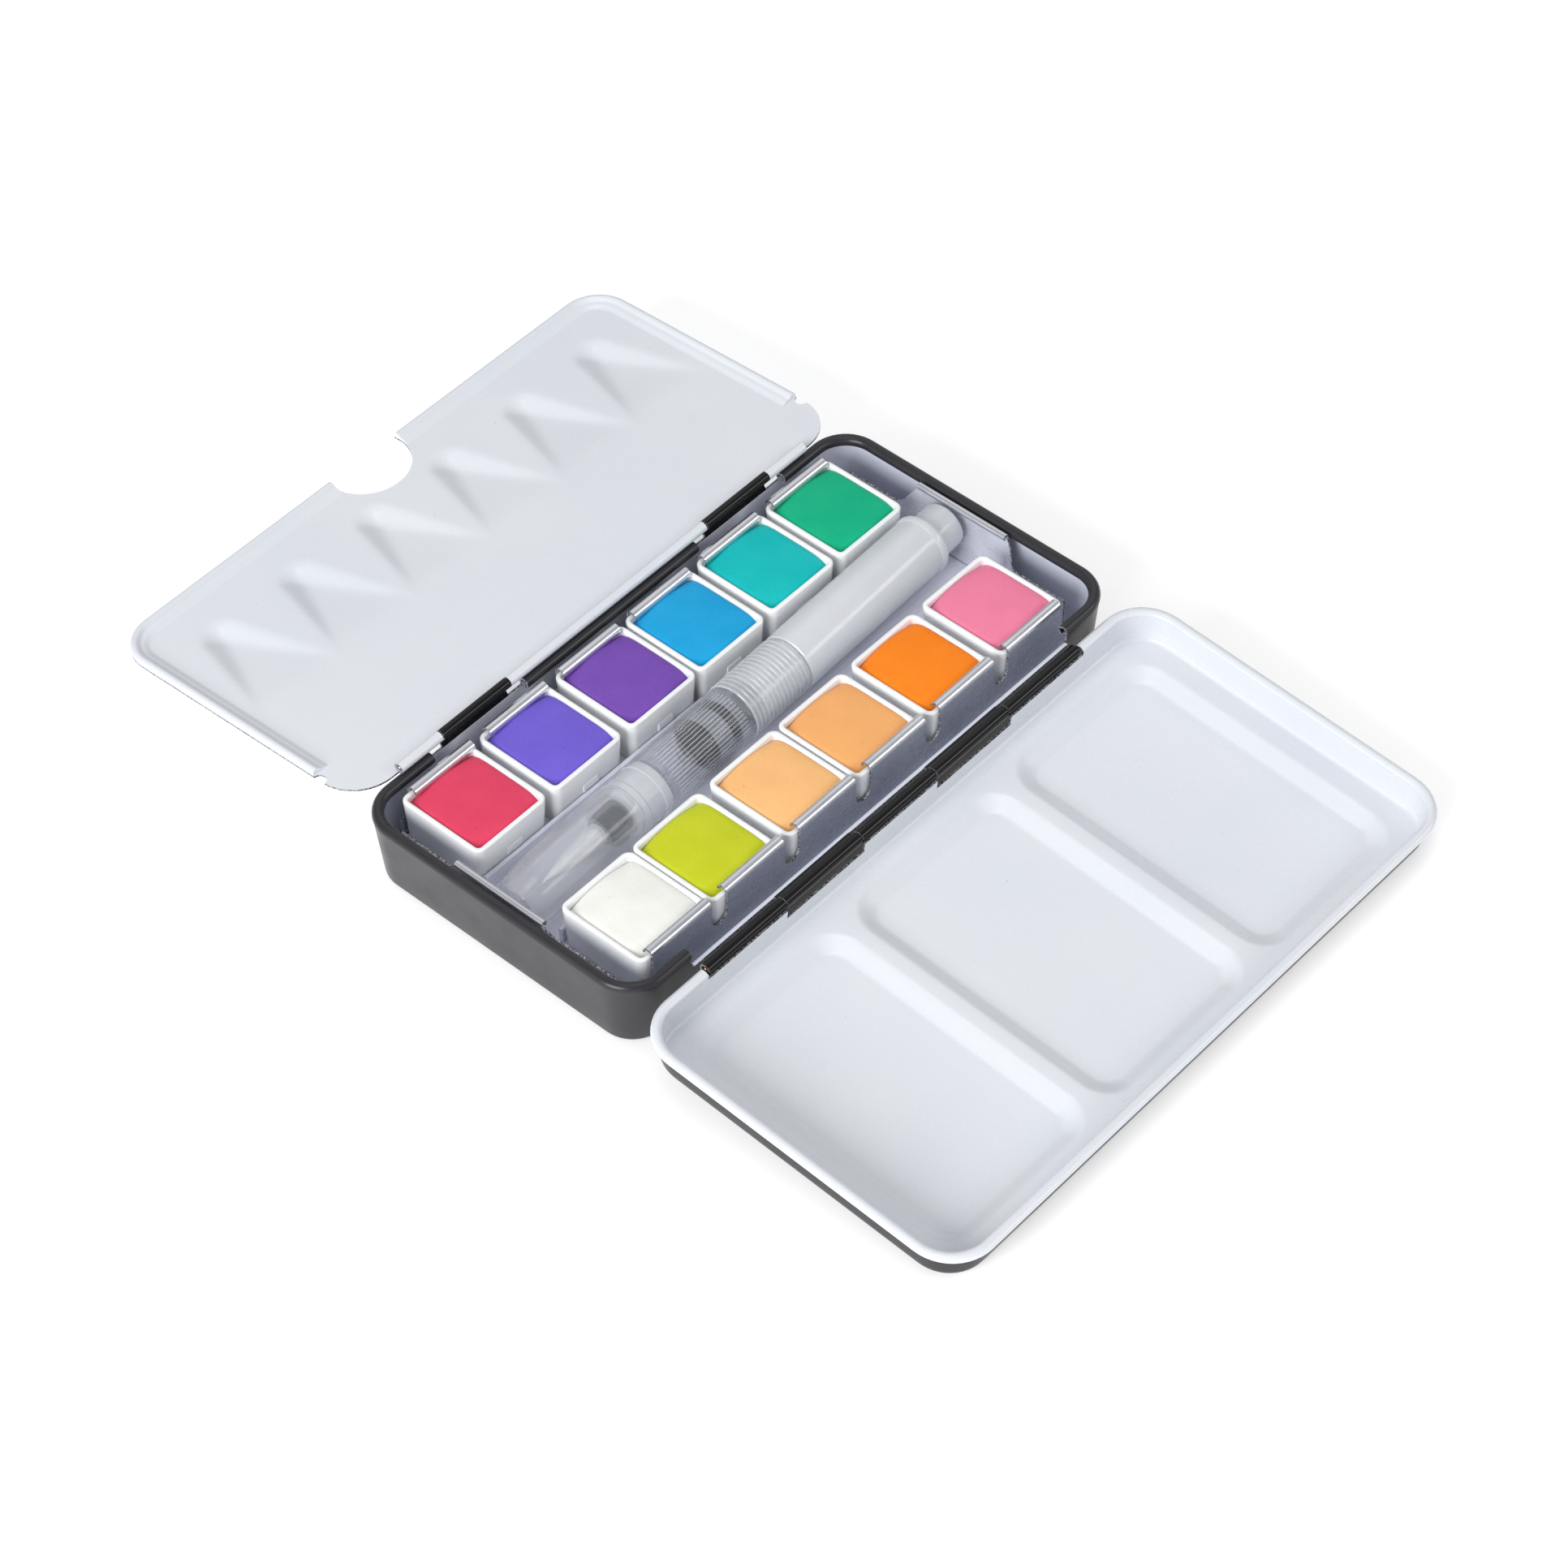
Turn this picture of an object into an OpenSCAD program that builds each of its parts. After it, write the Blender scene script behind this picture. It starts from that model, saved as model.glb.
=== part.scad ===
// Folding watercolour tin: a pressed tray with twelve half pans held by a clip insert,
// a water brush lying between the two rows, a deep lid hinged on one long side and a
// flat mixing leaf hinged on the other. Both are shown swung open.
// The origin is the centre of the tray's foot, on the table. X runs along the tray.

/* [Tray] */
// Length of the tray over its rolled rim
tray_l = 120.2; // [118:0.2:122]
// Width of the tray over its rolled rim
tray_w = 62; // [61:0.5:63]
// Height of the tray to the top of its rim
tray_h = 15; // [14.8:0.1:15.2]
// Corner radius of the tray in plan
tray_r = 7.5; // [6:0.5:8]
// How far each wall leans in between the rim and the foot
tray_lean = 1.3; // [1:0.1:1.5]
// Width of the inward rolled rim
rim_w = 2.1; // [1.8:0.1:2.2]
// Thickness of the pressed sheet
sheet = 0.4; // [0.35:0.05:0.45]

/* [Lid] */
// Length of the lid over its rolled edge
lid_l = 126.6; // [126:0.2:128]
// Width of the lid over its rolled edge
lid_w = 67.4; // [67:0.2:68]
// Depth of the lid from its rolled edge to the underside of its ledge
lid_depth = 7; // [6.8:0.1:7.2]
// How far the three lid wells drop below the ledge
lid_well_drop = 1.5; // [1:0.1:1.8]

/* [Mixing leaf] */
// Length of the mixing leaf
leaf_l = 118.2; // [117:0.2:118.6]
// Reach of the mixing leaf from its hinge
leaf_reach = 58.6; // [58:0.2:59]
// Angle that the open leaf hangs below level
leaf_droop = 3.3; // [3:0.1:3.6]
// Depth of the mixing wells at their round end
leaf_well_depth = 1.5; // [1:0.1:1.6]

/* [Hinges] */
// Height of the lid hinge above the table
lid_hinge_z = 12; // [11.9:0.1:12.1]
// Height of the leaf hinge above the table
leaf_hinge_z = 16.15; // [16.1:0.05:16.3]
// Radius of the lid hinge wire
lid_wire_r = 0.55; // [0.45:0.05:0.6]
// Radius of the leaf hinge wire
leaf_wire_r = 0.45; // [0.4:0.05:0.5]
// Running clearance between a wire and its knuckles
wire_gap = 0.05; // [0.03:0.01:0.08]

/* [Pans] */
// Pans in each row
pan_count = 6; // [6:1:6]
// Distance between neighbouring pans
pan_pitch = 17.63; // [17.5:0.01:17.7]
// Outer length of a half pan across the tray
pan_l = 18.1; // [17.9:0.1:18.2]
// Outer width of a half pan along the tray
pan_w = 16.4; // [16.2:0.1:16.5]
// Height of a half pan
pan_h = 9.1; // [8.8:0.1:9.1]

/* [Water brush] */
// Outer radius of the squeezable reservoir
reservoir_r = 5.5; // [5.3:0.05:5.55]
// Outer radius of the cap over the bristles
cap_r = 5.3; // [5.1:0.05:5.4]

/* [Hidden] */
$fn = 48;
eps = 0.01;

// Hinges
lid_hinge_y = -33.15;
leaf_hinge_y = 30.65;
lid_knuckle_r = 1.15;
lid_knuckle_l = 18.4;
lid_knuckle_gap = 0.15;
hinge_cut = 46.5;
leaf_roll_r = 0.95;
leaf_knuckle_x = 32;
leaf_knuckle_l = 15.5;
leaf_roll_end = 49.5;
leaf_roll_gap = 0.3;

// Lid: its rolled edge rises a little above the hinge line and its wall sits inside the roll
lid_bead = 1.5;
lid_bead_top = 0.8;
lid_r = 8.6;
lid_back = 0.5;
lid_well_inset = 4.3;
lid_well_slope = 3;
lid_rib_x = 20;
lid_rib_w = 3;
lid_well_end = 56.8;
lid_cut_depth = 3.3;
lid_floor = lid_bead_top - lid_depth;
lid_foot_y = lid_w - lid_back - lid_well_inset - lid_well_slope - lid_bead;
lid_foot_drop = lid_depth + lid_well_drop - lid_bead_top;
// The open lid hangs until the edge of its wells rests on the table
lid_droop = asin(lid_hinge_z / norm([lid_foot_y, lid_foot_drop])) - atan(lid_foot_drop / lid_foot_y);

// Mixing leaf
leaf_sheet = 0.38;
leaf_top = -0.55;
leaf_free_r = 7.4;
leaf_hinge_r = 8;
leaf_border_w = 2.9;
leaf_border_h = 1.1;
leaf_border_start = 9;
leaf_notch_v = 7.8;
leaf_notch_r = 1.2;
thumb_r = 8;
thumb_v = leaf_reach - 1.1;
mix_wells = 6;
mix_pitch = 18.25;
mix_round_r = 3.3;
mix_round_v = 45.5;
mix_start_v = 28.5;
mix_start_half = 7.7;

// Insert that holds the pans
insert_y = 0.8;
insert_half_l = 55.4;
insert_half_w = 27.15;
insert_foot = 0.9;
insert_floor = 4.8;
tab_w = 13.8;
tab_pitch = 17.45;
hook_r = 1.1;
hook_in_r = 0.7;
hook_z = 13.95;
slot_z = 8.3;
end_tab_half = 9.7;
end_tab_x = 57.6;
end_tab_roll = 0.65;
end_skirt_z = 9.8;
rib_y = 8.4;
rib_w = 0.8;
rib_top = 8;
rib_half_l = 52.3;

// Pans
pan_row_x = -0.4;
pan_row_y = 17.65;
pan_end_wall = 1.1;
pan_side_wall = 1;
pan_base = 1;
pan_draft = 0.5;
paint_below = 1;
paint_gap = 0.02;
// How far each loose pan has slid along its clip, near end first
left_slides = [-0.3, 0, 0.5, -0.1, 0, -0.1];
right_slides = [0, -1, -0.3, -1.1, -0.6, 0];
left_paints = ["crimson", "mediumslateblue", "mediumpurple",
               "deepskyblue", "darkturquoise", "mediumseagreen"];
right_paints = ["whitesmoke", "yellowgreen", "sandybrown",
                "sandybrown", "darkorange", "lightpink"];

// Water brush: stations along its own axis, and where that axis lies
brush_y = 1.5;
brush_z = 10.5;
brush_yaw = 2.2;
brush_near = -55.6;
cap_mouth = -28.7;
socket_from = -29.7;
collar_end = -22.1;
body_end = 13.2;
reservoir_end = 49.8;
brush_far = 55.8;
brush_wall = 0.5;
body_r = 5.35;
body_bore_r = 4.5;
neck_r = body_bore_r - 0.08;
neck_start = 3;
plug_r = 4.35;
end_ring_r = 5.6;
end_ring_w = 1.2;
thread_r = 5.5;
thread_from = -1;
thread_count = 6;
thread_pitch = 2.1;
thread_w = 1;
bristle_tip = -49;
ferrule_from = -35;
ferrule_r = 2.85;
seal_r = 4.3;

// ---------- shared shapes ----------

// A rectangle with round corners, centred on the origin
module round_rect(l, w, r) {
    square([l - 2 * r, w], center = true);
    square([l, w - 2 * r], center = true);
    for (sx = [-1, 1], sy = [-1, 1])
        translate([sx * (l / 2 - r), sy * (w / 2 - r)])
            circle(r);
}

module round_slab(l, w, r, z0, z1) {
    translate([0, 0, z0])
        linear_extrude(z1 - z0)
            round_rect(l, w, r);
}

// A rod along X between two stations
module x_rod(r, x0, x1) {
    translate([x0, 0, 0])
        rotate([0, 90, 0])
            cylinder(r = r, h = x1 - x0);
}

// A shape turned about X from a profile of [station, radius] points
module x_turned(profile) {
    rotate([0, 90, 0])
        rotate_extrude()
            polygon([for (p = profile) [p[1], p[0]]]);
}

// ---------- tray ----------

// The leaning outside or inside surface of the tray as a solid
module tray_block(inset, z0, z1) {
    foot_bevel = 1;
    bevel_z = 1.2;
    hull() {
        for (s = [[z0, foot_bevel], [max(bevel_z, z0 + bevel_z), 0]])
            translate([0, 0, s[0]])
                linear_extrude(eps)
                    round_rect(tray_l - 2 * (lean_at(s[0]) + s[1] + inset),
                               tray_w - 2 * (lean_at(s[0]) + s[1] + inset),
                               tray_r - lean_at(s[0]) - inset, $fn = 32);
        translate([0, 0, z1 - eps])
            linear_extrude(eps)
                round_rect(tray_l - 2 * (lean_at(z1) + inset), tray_w - 2 * (lean_at(z1) + inset),
                           tray_r - inset, $fn = 32);
    }
}

function lean_at(z) = tray_lean * (1 - min(z, tray_h) / tray_h);

module base_tray() {
    rim_h = 1.8;
    rim_gap = 22;
    strip_z = 11.6;
    strip_t = 0.45;
    strip_half = hinge_cut - 0.3;
    strip_y = -31.35;
    strip_w = 1.2;
    knuckle = lid_knuckle_l - 2 * lid_knuckle_gap;
    tab_y = 31.15;
    tab_reach = leaf_roll_r + leaf_hinge_y;
    tab_foot = 2;
    tab_t = 1.6;
    color([0.16, 0.16, 0.18])
    difference() {
        union() {
            difference() {
                tray_block(0, 0, tray_h);
                tray_block(sheet, sheet, tray_h + 1);
            }
            // Rolled rim, left out where the lid hinge takes its place
            difference() {
                round_slab(tray_l, tray_w, tray_r, tray_h - rim_h, tray_h);
                round_slab(tray_l - 2 * rim_w, tray_w - 2 * rim_w, tray_r - rim_w,
                           tray_h - rim_h - 1, tray_h + 1);
                for (s = [-1, 1])
                    translate([s * leaf_knuckle_x - rim_gap / 2, tray_w / 2 - rim_w - 1, tray_h - 2 * rim_h])
                        cube([rim_gap, rim_w + 1 - sheet, 3 * rim_h]);
            }
            // Tabs that carry the two leaf knuckles
            for (s = [-1, 1])
                translate([s * leaf_knuckle_x - leaf_knuckle_l / 2, 0, 0]) {
                    translate([0, tray_w / 2 - sheet, tray_h - tab_foot])
                        cube([leaf_knuckle_l, tab_reach - tray_w / 2 + sheet, tab_t]);
                    translate([0, tab_y, tray_h - tab_foot])
                        cube([leaf_knuckle_l, tab_reach - tab_y, leaf_hinge_z - tray_h + tab_foot]);
                    translate([0, leaf_hinge_y, leaf_hinge_z])
                        x_rod(leaf_roll_r, 0, leaf_knuckle_l);
                }
        }
        // Opening in the hinge-side wall
        translate([-hinge_cut, -tray_w / 2 - 1, strip_z + strip_t])
            cube([2 * hinge_cut, rim_w + 1.5, tray_h]);
        translate([0, leaf_hinge_y, leaf_hinge_z])
            x_rod(leaf_wire_r + wire_gap, -leaf_roll_end - 1, leaf_roll_end + 1);
    }
    color([0.05, 0.05, 0.06])
    difference() {
        union() {
            // Wall edge bent outwards, and the two knuckles that it ends in
            translate([-strip_half, strip_y, strip_z])
                cube([2 * strip_half, strip_w, strip_t]);
            for (s = [-1, 1])
                translate([s * lid_knuckle_l - lid_knuckle_l / 2 + lid_knuckle_gap, 0, 0]) {
                    translate([0, lid_hinge_y, strip_z])
                        cube([knuckle, strip_y + strip_w / 2 - lid_hinge_y, strip_t]);
                    translate([0, lid_hinge_y, lid_hinge_z])
                        x_rod(lid_knuckle_r, 0, knuckle);
                }
        }
        translate([0, lid_hinge_y, lid_hinge_z])
            x_rod(lid_wire_r + wire_gap, -hinge_cut, hinge_cut);
    }
}

// ---------- insert ----------

// One long side: the skirt and its six clip tabs, cut by rounded slots
module clip_side() {
    skirt_half = 53;
    slot_w = tab_pitch - tab_w;
    row_half = (pan_count * tab_pitch - slot_w) / 2;
    translate([0, insert_half_w, 0])
        rotate([90, 0, 0])
            linear_extrude(sheet)
                difference() {
                    union() {
                        translate([-skirt_half, insert_foot])
                            square([2 * skirt_half, slot_z - insert_foot]);
                        translate([-row_half, slot_z - eps])
                            square([2 * row_half, hook_z - slot_z + eps]);
                    }
                    for (i = [1:pan_count - 1])
                        translate([(i - pan_count / 2) * tab_pitch, slot_z + slot_w / 2]) {
                            circle(slot_w / 2);
                            translate([-slot_w / 2, 0])
                                square([slot_w, hook_z]);
                        }
                }
    // Hooked tops that hold the pans down
    for (i = [0:pan_count - 1])
        translate([(i - (pan_count - 1) / 2) * tab_pitch - tab_w / 2, insert_half_w - hook_r, hook_z])
            difference() {
                x_rod(hook_r, 0, tab_w);
                x_rod(hook_in_r, -1, tab_w + 1);
                translate([-1, -2 * hook_r, -2 * hook_r])
                    cube([tab_w + 2, 4 * hook_r, 2 * hook_r]);
            }
}

// One short end: the finger tab with its rolled top, and the low skirts beside it
module insert_end() {
    skirt_end_y = 24;
    skirt_from_y = 10.9;
    roll_z = 14.3;
    translate([end_tab_x - sheet, -end_tab_half, insert_floor - sheet])
        cube([sheet, 2 * end_tab_half, roll_z - insert_floor + sheet]);
    translate([end_tab_x - end_tab_roll, end_tab_half, roll_z])
        rotate([90, 0, 0])
            cylinder(r = end_tab_roll, h = 2 * end_tab_half);
    for (s = [0, 1])
        mirror([0, s, 0])
            translate([insert_half_l - sheet, skirt_from_y, insert_foot])
                cube([sheet, skirt_end_y - skirt_from_y, end_skirt_z - insert_foot]);
}

module pan_insert() {
    corner = 3;
    color([0.78, 0.79, 0.8])
    translate([0, insert_y, 0]) {
        translate([0, 0, insert_floor - sheet])
            linear_extrude(sheet) {
                round_rect(2 * insert_half_l, 2 * insert_half_w, corner);
                square([2 * end_tab_x, 2 * end_tab_half], center = true);
            }
        for (s = [0, 1]) {
            mirror([0, s, 0])
                clip_side();
            mirror([s, 0, 0])
                insert_end();
            mirror([0, s, 0])
                translate([-rib_half_l, rib_y - rib_w / 2, insert_floor - sheet / 2])
                    cube([2 * rib_half_l, rib_w, rib_top - insert_floor + sheet / 2]);
        }
    }
}

// ---------- pans and paints ----------

// Places its children at pan number i of a row; side is 1 for the leaf side, -1 for the lid side
module at_pan(side, i, slides) {
    translate([pan_row_x + (i - (pan_count - 1) / 2) * pan_pitch + slides[i],
               insert_y + side * pan_row_y, insert_floor])
        children();
}

module half_pan() {
    outer_r = 1.6;
    inner_r = 0.8;
    color([0.95, 0.95, 0.93])
    difference() {
        hull() {
            round_slab(pan_w - 2 * pan_draft, pan_l - 2 * pan_draft, outer_r, 0, eps, $fn = 24);
            round_slab(pan_w, pan_l, outer_r, pan_h - eps, pan_h, $fn = 24);
        }
        round_slab(pan_w - 2 * pan_side_wall, pan_l - 2 * pan_end_wall, inner_r, pan_base, pan_h + 1);
    }
}

module paint_block(tint) {
    inner_r = 0.8;
    color(tint)
        round_slab(pan_w - 2 * (pan_side_wall + paint_gap), pan_l - 2 * (pan_end_wall + paint_gap),
                   inner_r, pan_base, pan_h - paint_below);
}

// ---------- lid ----------

module lid_outline(inset) {
    translate([0, lid_back - lid_w / 2, 0])
        round_rect(lid_l - 2 * inset, lid_w - 2 * inset, lid_r - inset);
}

// A well with sloping sides: the floor is set in from the mouth by the slope
module lid_well(x0, x1, z_mouth, z_floor, grow) {
    mid_y = lid_back - lid_w / 2;
    half_w = lid_w / 2 - lid_bead - lid_well_inset;
    mouth_r = 6;
    floor_r = 4;
    hull() {
        translate([(x0 + x1) / 2, mid_y, z_mouth])
            linear_extrude(eps)
                round_rect(x1 - x0 + 2 * grow, 2 * (half_w + grow), mouth_r, $fn = 32);
        translate([(x0 + x1) / 2, mid_y, z_floor])
            linear_extrude(eps)
                round_rect(x1 - x0 + 2 * (grow - lid_well_slope), 2 * (half_w + grow - lid_well_slope),
                           floor_r, $fn = 32);
    }
}

module lid_wells(z_mouth, z_floor, grow) {
    side = lid_rib_x + lid_rib_w / 2;
    lid_well(-lid_well_end, -side, z_mouth, z_floor, grow);
    lid_well(-lid_rib_x + lid_rib_w / 2, lid_rib_x - lid_rib_w / 2, z_mouth, z_floor, grow);
    lid_well(side, lid_well_end, z_mouth, z_floor, grow);
}

// The lid as made, level, with the hinge line along X through the origin
module lid_level() {
    wall_in = lid_bead + sheet;
    difference() {
        union() {
            difference() {
                union() {
                    translate([0, 0, lid_floor])
                        linear_extrude(lid_bead_top - lid_floor)
                            lid_outline(lid_bead);
                    translate([0, 0, lid_bead_top - lid_bead])
                        linear_extrude(lid_bead)
                            lid_outline(0);
                    lid_wells(lid_floor, lid_floor - lid_well_drop, sheet);
                }
                translate([0, 0, lid_floor + sheet])
                    linear_extrude(lid_depth)
                        lid_outline(wall_in);
                lid_wells(lid_floor + sheet, lid_floor - lid_well_drop + sheet, 0);
            }
            for (k = [-1:1])
                x_rod_knuckle(k * 2 * lid_knuckle_l);
        }
        // Gaps for the two knuckles of the tray
        for (s = [-1, 1])
            translate([(s - 0.5) * lid_knuckle_l - lid_knuckle_gap, -2, lid_bead_top - lid_cut_depth])
                cube([lid_knuckle_l + 2 * lid_knuckle_gap, 4, lid_cut_depth + 1]);
        x_rod(lid_wire_r + wire_gap, -hinge_cut, hinge_cut);
    }
}

module x_rod_knuckle(x) {
    x_rod(lid_knuckle_r, x - lid_knuckle_l / 2 + lid_knuckle_gap, x + lid_knuckle_l / 2 - lid_knuckle_gap);
}

module lid() {
    color([0.9, 0.91, 0.92])
        translate([0, lid_hinge_y, lid_hinge_z])
            rotate([lid_droop, 0, 0])
                lid_level();
}

module lid_hinge_wire() {
    color([0.72, 0.45, 0.3])
        translate([0, lid_hinge_y, lid_hinge_z])
            x_rod(lid_wire_r, -hinge_cut + 0.5, hinge_cut - 0.5);
}

// ---------- mixing leaf ----------

// Outline of the leaf, hinge edge on the X axis; inset shrinks the three free sides
module leaf_outline(inset) {
    half = leaf_l / 2 - inset;
    reach = leaf_reach - inset;
    free_r = leaf_free_r - inset;
    difference() {
        union() {
            translate([-half + leaf_hinge_r, 0])
                square([2 * (half - leaf_hinge_r), reach]);
            translate([-half, leaf_hinge_r])
                square([2 * half, reach - leaf_hinge_r - free_r]);
            translate([-half + free_r, leaf_hinge_r])
                square([2 * (half - free_r), reach - leaf_hinge_r]);
            for (s = [-1, 1]) {
                translate([s * (half - leaf_hinge_r), leaf_hinge_r])
                    circle(leaf_hinge_r);
                translate([s * (half - free_r), reach - free_r])
                    circle(free_r);
            }
        }
        translate([0, thumb_v])
            circle(thumb_r + inset);
    }
}

// Plan of one fan-shaped mixing well: a round end that widens towards the hinge
module fan(grow) {
    polygon([[-mix_start_half - grow, mix_start_v], [mix_start_half + grow, mix_start_v],
             [mix_round_r + grow, mix_round_v], [-mix_round_r - grow, mix_round_v]]);
    translate([0, mix_round_v])
        circle(mix_round_r + grow);
}

// The space above a floor that slopes down from z_start, cut to the fan's plan
module sloped_fan(grow, z_start, z_top) {
    drop = 3;
    slope = atan(leaf_well_depth / (mix_round_v + mix_round_r - mix_start_v));
    intersection() {
        translate([0, 0, z_start - drop])
            linear_extrude(z_top - z_start + drop)
                fan(grow);
        translate([-mix_pitch / 2, mix_start_v, z_start])
            rotate([-slope, 0, 0])
                cube([mix_pitch, 2 * mix_round_v, drop + 2]);
    }
}

module at_wells() {
    for (i = [0:mix_wells - 1])
        translate([(i - (mix_wells - 1) / 2) * mix_pitch, 0, 0])
            children();
}

// The leaf as made, level, with the hinge line along X through the origin
module leaf_level() {
    roll_cut = 2.5;
    roll_side = leaf_knuckle_x - leaf_knuckle_l / 2 - leaf_roll_gap;
    roll_far = leaf_knuckle_x + leaf_knuckle_l / 2 + leaf_roll_gap;
    difference() {
        union() {
            translate([0, 0, leaf_top - leaf_sheet])
                linear_extrude(leaf_sheet)
                    leaf_outline(0);
            translate([0, 0, leaf_top - eps])
                linear_extrude(leaf_border_h + eps)
                    difference() {
                        leaf_outline(0);
                        leaf_outline(leaf_border_w);
                        translate([-leaf_l, -1])
                            square([2 * leaf_l, leaf_border_start + 1]);
                    }
            at_wells()
                sloped_fan(leaf_sheet, leaf_top - leaf_sheet, leaf_top - leaf_sheet / 2);
            for (span = [[-leaf_roll_end, -roll_far], [-roll_side, roll_side], [roll_far, leaf_roll_end]])
                x_rod(leaf_roll_r, span[0], span[1]);
        }
        at_wells()
            sloped_fan(0, leaf_top, 1);
        x_rod(leaf_wire_r + wire_gap, -leaf_roll_end - 1, leaf_roll_end + 1);
        for (s = [-1, 1]) {
            translate([s * leaf_knuckle_x - leaf_knuckle_l / 2 - leaf_roll_gap, -1, -2])
                cube([leaf_knuckle_l + 2 * leaf_roll_gap, roll_cut, 3]);
            translate([s * leaf_l / 2, leaf_notch_v, -2])
                cylinder(r = leaf_notch_r, h = 4);
        }
    }
}

module mixing_leaf() {
    color([0.9, 0.91, 0.92])
        translate([0, leaf_hinge_y, leaf_hinge_z])
            rotate([-leaf_droop, 0, 0])
                leaf_level();
}

module leaf_hinge_wire() {
    color([0.75, 0.76, 0.78])
        translate([0, leaf_hinge_y, leaf_hinge_z])
            x_rod(leaf_wire_r, -leaf_roll_end, leaf_roll_end);
}

// ---------- water brush ----------

module brush_pose() {
    translate([0, brush_y, brush_z])
        rotate([0, 0, brush_yaw])
            children();
}

module brush_cap() {
    nose = 4.5;
    nose_r = 4.2;
    shoulder_r = cap_r - 0.2;
    hollow_r = 3;
    color([0.85, 0.88, 0.9, 0.5])
        brush_pose()
            x_turned([[brush_near, 0], [brush_near, nose_r], [brush_near + nose, shoulder_r],
                      [brush_near + 2 * nose, cap_r], [cap_mouth, cap_r], [cap_mouth, cap_r - brush_wall],
                      [brush_near + nose, shoulder_r - brush_wall],
                      [brush_near + 2 * brush_wall, hollow_r], [brush_near + 2 * brush_wall, 0]]);
}

module brush_bristles() {
    belly = -41;
    belly_r = 1.5;
    root_r = 2;
    color([0.9, 0.92, 0.94])
        brush_pose()
            x_turned([[bristle_tip, 0], [belly, belly_r], [ferrule_from, root_r], [ferrule_from, 0]]);
}

module brush_ferrule() {
    bevel = 0.3;
    color([0.35, 0.38, 0.42])
        brush_pose()
            x_turned([[ferrule_from, 0], [ferrule_from, ferrule_r - bevel], [ferrule_from + 1, ferrule_r],
                      [socket_from, ferrule_r], [socket_from, 0]]);
}

module brush_collar() {
    socket_r = cap_r - brush_wall - 0.1;
    front_r = 4.95;
    rear_r = 5.2;
    ink_r = 1;
    color([0.86, 0.89, 0.9, 0.5])
        brush_pose()
            x_turned([[socket_from, 0], [socket_from, socket_r], [cap_mouth, socket_r],
                      [cap_mouth + eps, front_r], [collar_end - 1, rear_r], [collar_end, rear_r],
                      [collar_end, ink_r], [cap_mouth + 2, ink_r], [cap_mouth + 2, 0]]);
}

module brush_body() {
    bevel = 0.2;
    feed_r = 1;
    color([0.85, 0.88, 0.9, 0.5])
        brush_pose() {
            x_turned([[collar_end, feed_r], [collar_end, body_r - bevel], [collar_end + 1, body_r],
                      [body_end, body_r], [body_end, body_bore_r], [collar_end + 1, body_bore_r],
                      [collar_end + 1, feed_r]]);
            for (i = [0:thread_count - 1])
                translate([thread_from + i * thread_pitch, 0, 0])
                    difference() {
                        x_rod(thread_r, 0, thread_w);
                        x_rod(body_r - 0.1, -1, thread_w + 1);
                    }
        }
}

module brush_seal() {
    front = -11;
    rear = -5.7;
    band_w = 2;
    groove_r = 3.4;
    color([0.2, 0.21, 0.24])
        brush_pose()
            x_turned([[front, 0], [front, seal_r], [front + band_w, seal_r], [front + band_w, groove_r],
                      [rear, groove_r], [rear, seal_r], [rear + band_w, seal_r], [rear + band_w, 0]]);
}

module brush_reservoir() {
    wall = 0.8;
    front = body_end + 0.15;
    bevel = 0.3;
    ring_from = reservoir_end - end_ring_w;
    color([0.88, 0.9, 0.92, 0.7])
        brush_pose()
            x_turned([[neck_start, neck_r - wall], [neck_start, neck_r], [front, neck_r],
                      [front, reservoir_r - bevel], [front + 4 * bevel, reservoir_r],
                      [ring_from - 1, reservoir_r], [ring_from, end_ring_r], [reservoir_end, end_ring_r],
                      [reservoir_end, 0], [ring_from, 0], [ring_from, reservoir_r - wall],
                      [front + 2, reservoir_r - wall], [front + 2, neck_r - wall]]);
}

module brush_end_plug() {
    bevel = 0.8;
    color([0.9, 0.92, 0.93, 0.7])
        brush_pose()
            x_turned([[reservoir_end, 0], [reservoir_end, plug_r], [brush_far - bevel, plug_r],
                      [brush_far, plug_r - bevel], [brush_far, 0]]);
}

// ---------- nodes ----------

base_tray();
pan_insert();
lid();
lid_hinge_wire();
mixing_leaf();
leaf_hinge_wire();
for (i = [0:pan_count - 1]) {
    at_pan(1, i, left_slides) half_pan();
    at_pan(-1, i, right_slides) half_pan();
    at_pan(1, i, left_slides) paint_block(left_paints[i]);
    at_pan(-1, i, right_slides) paint_block(right_paints[i]);
}
brush_cap();
brush_bristles();
brush_ferrule();
brush_collar();
brush_body();
brush_seal();
brush_reservoir();
brush_end_plug();
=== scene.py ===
"""Looks for a folding watercolour tin: tray, clip insert, twelve half pans, water brush, lid and mixing leaf.

Shapes are worked out in millimetres and become meshes in metres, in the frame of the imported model.
"""
import math

import bmesh
import bpy
from mathutils import Euler, Matrix, Vector, geometry, noise

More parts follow.
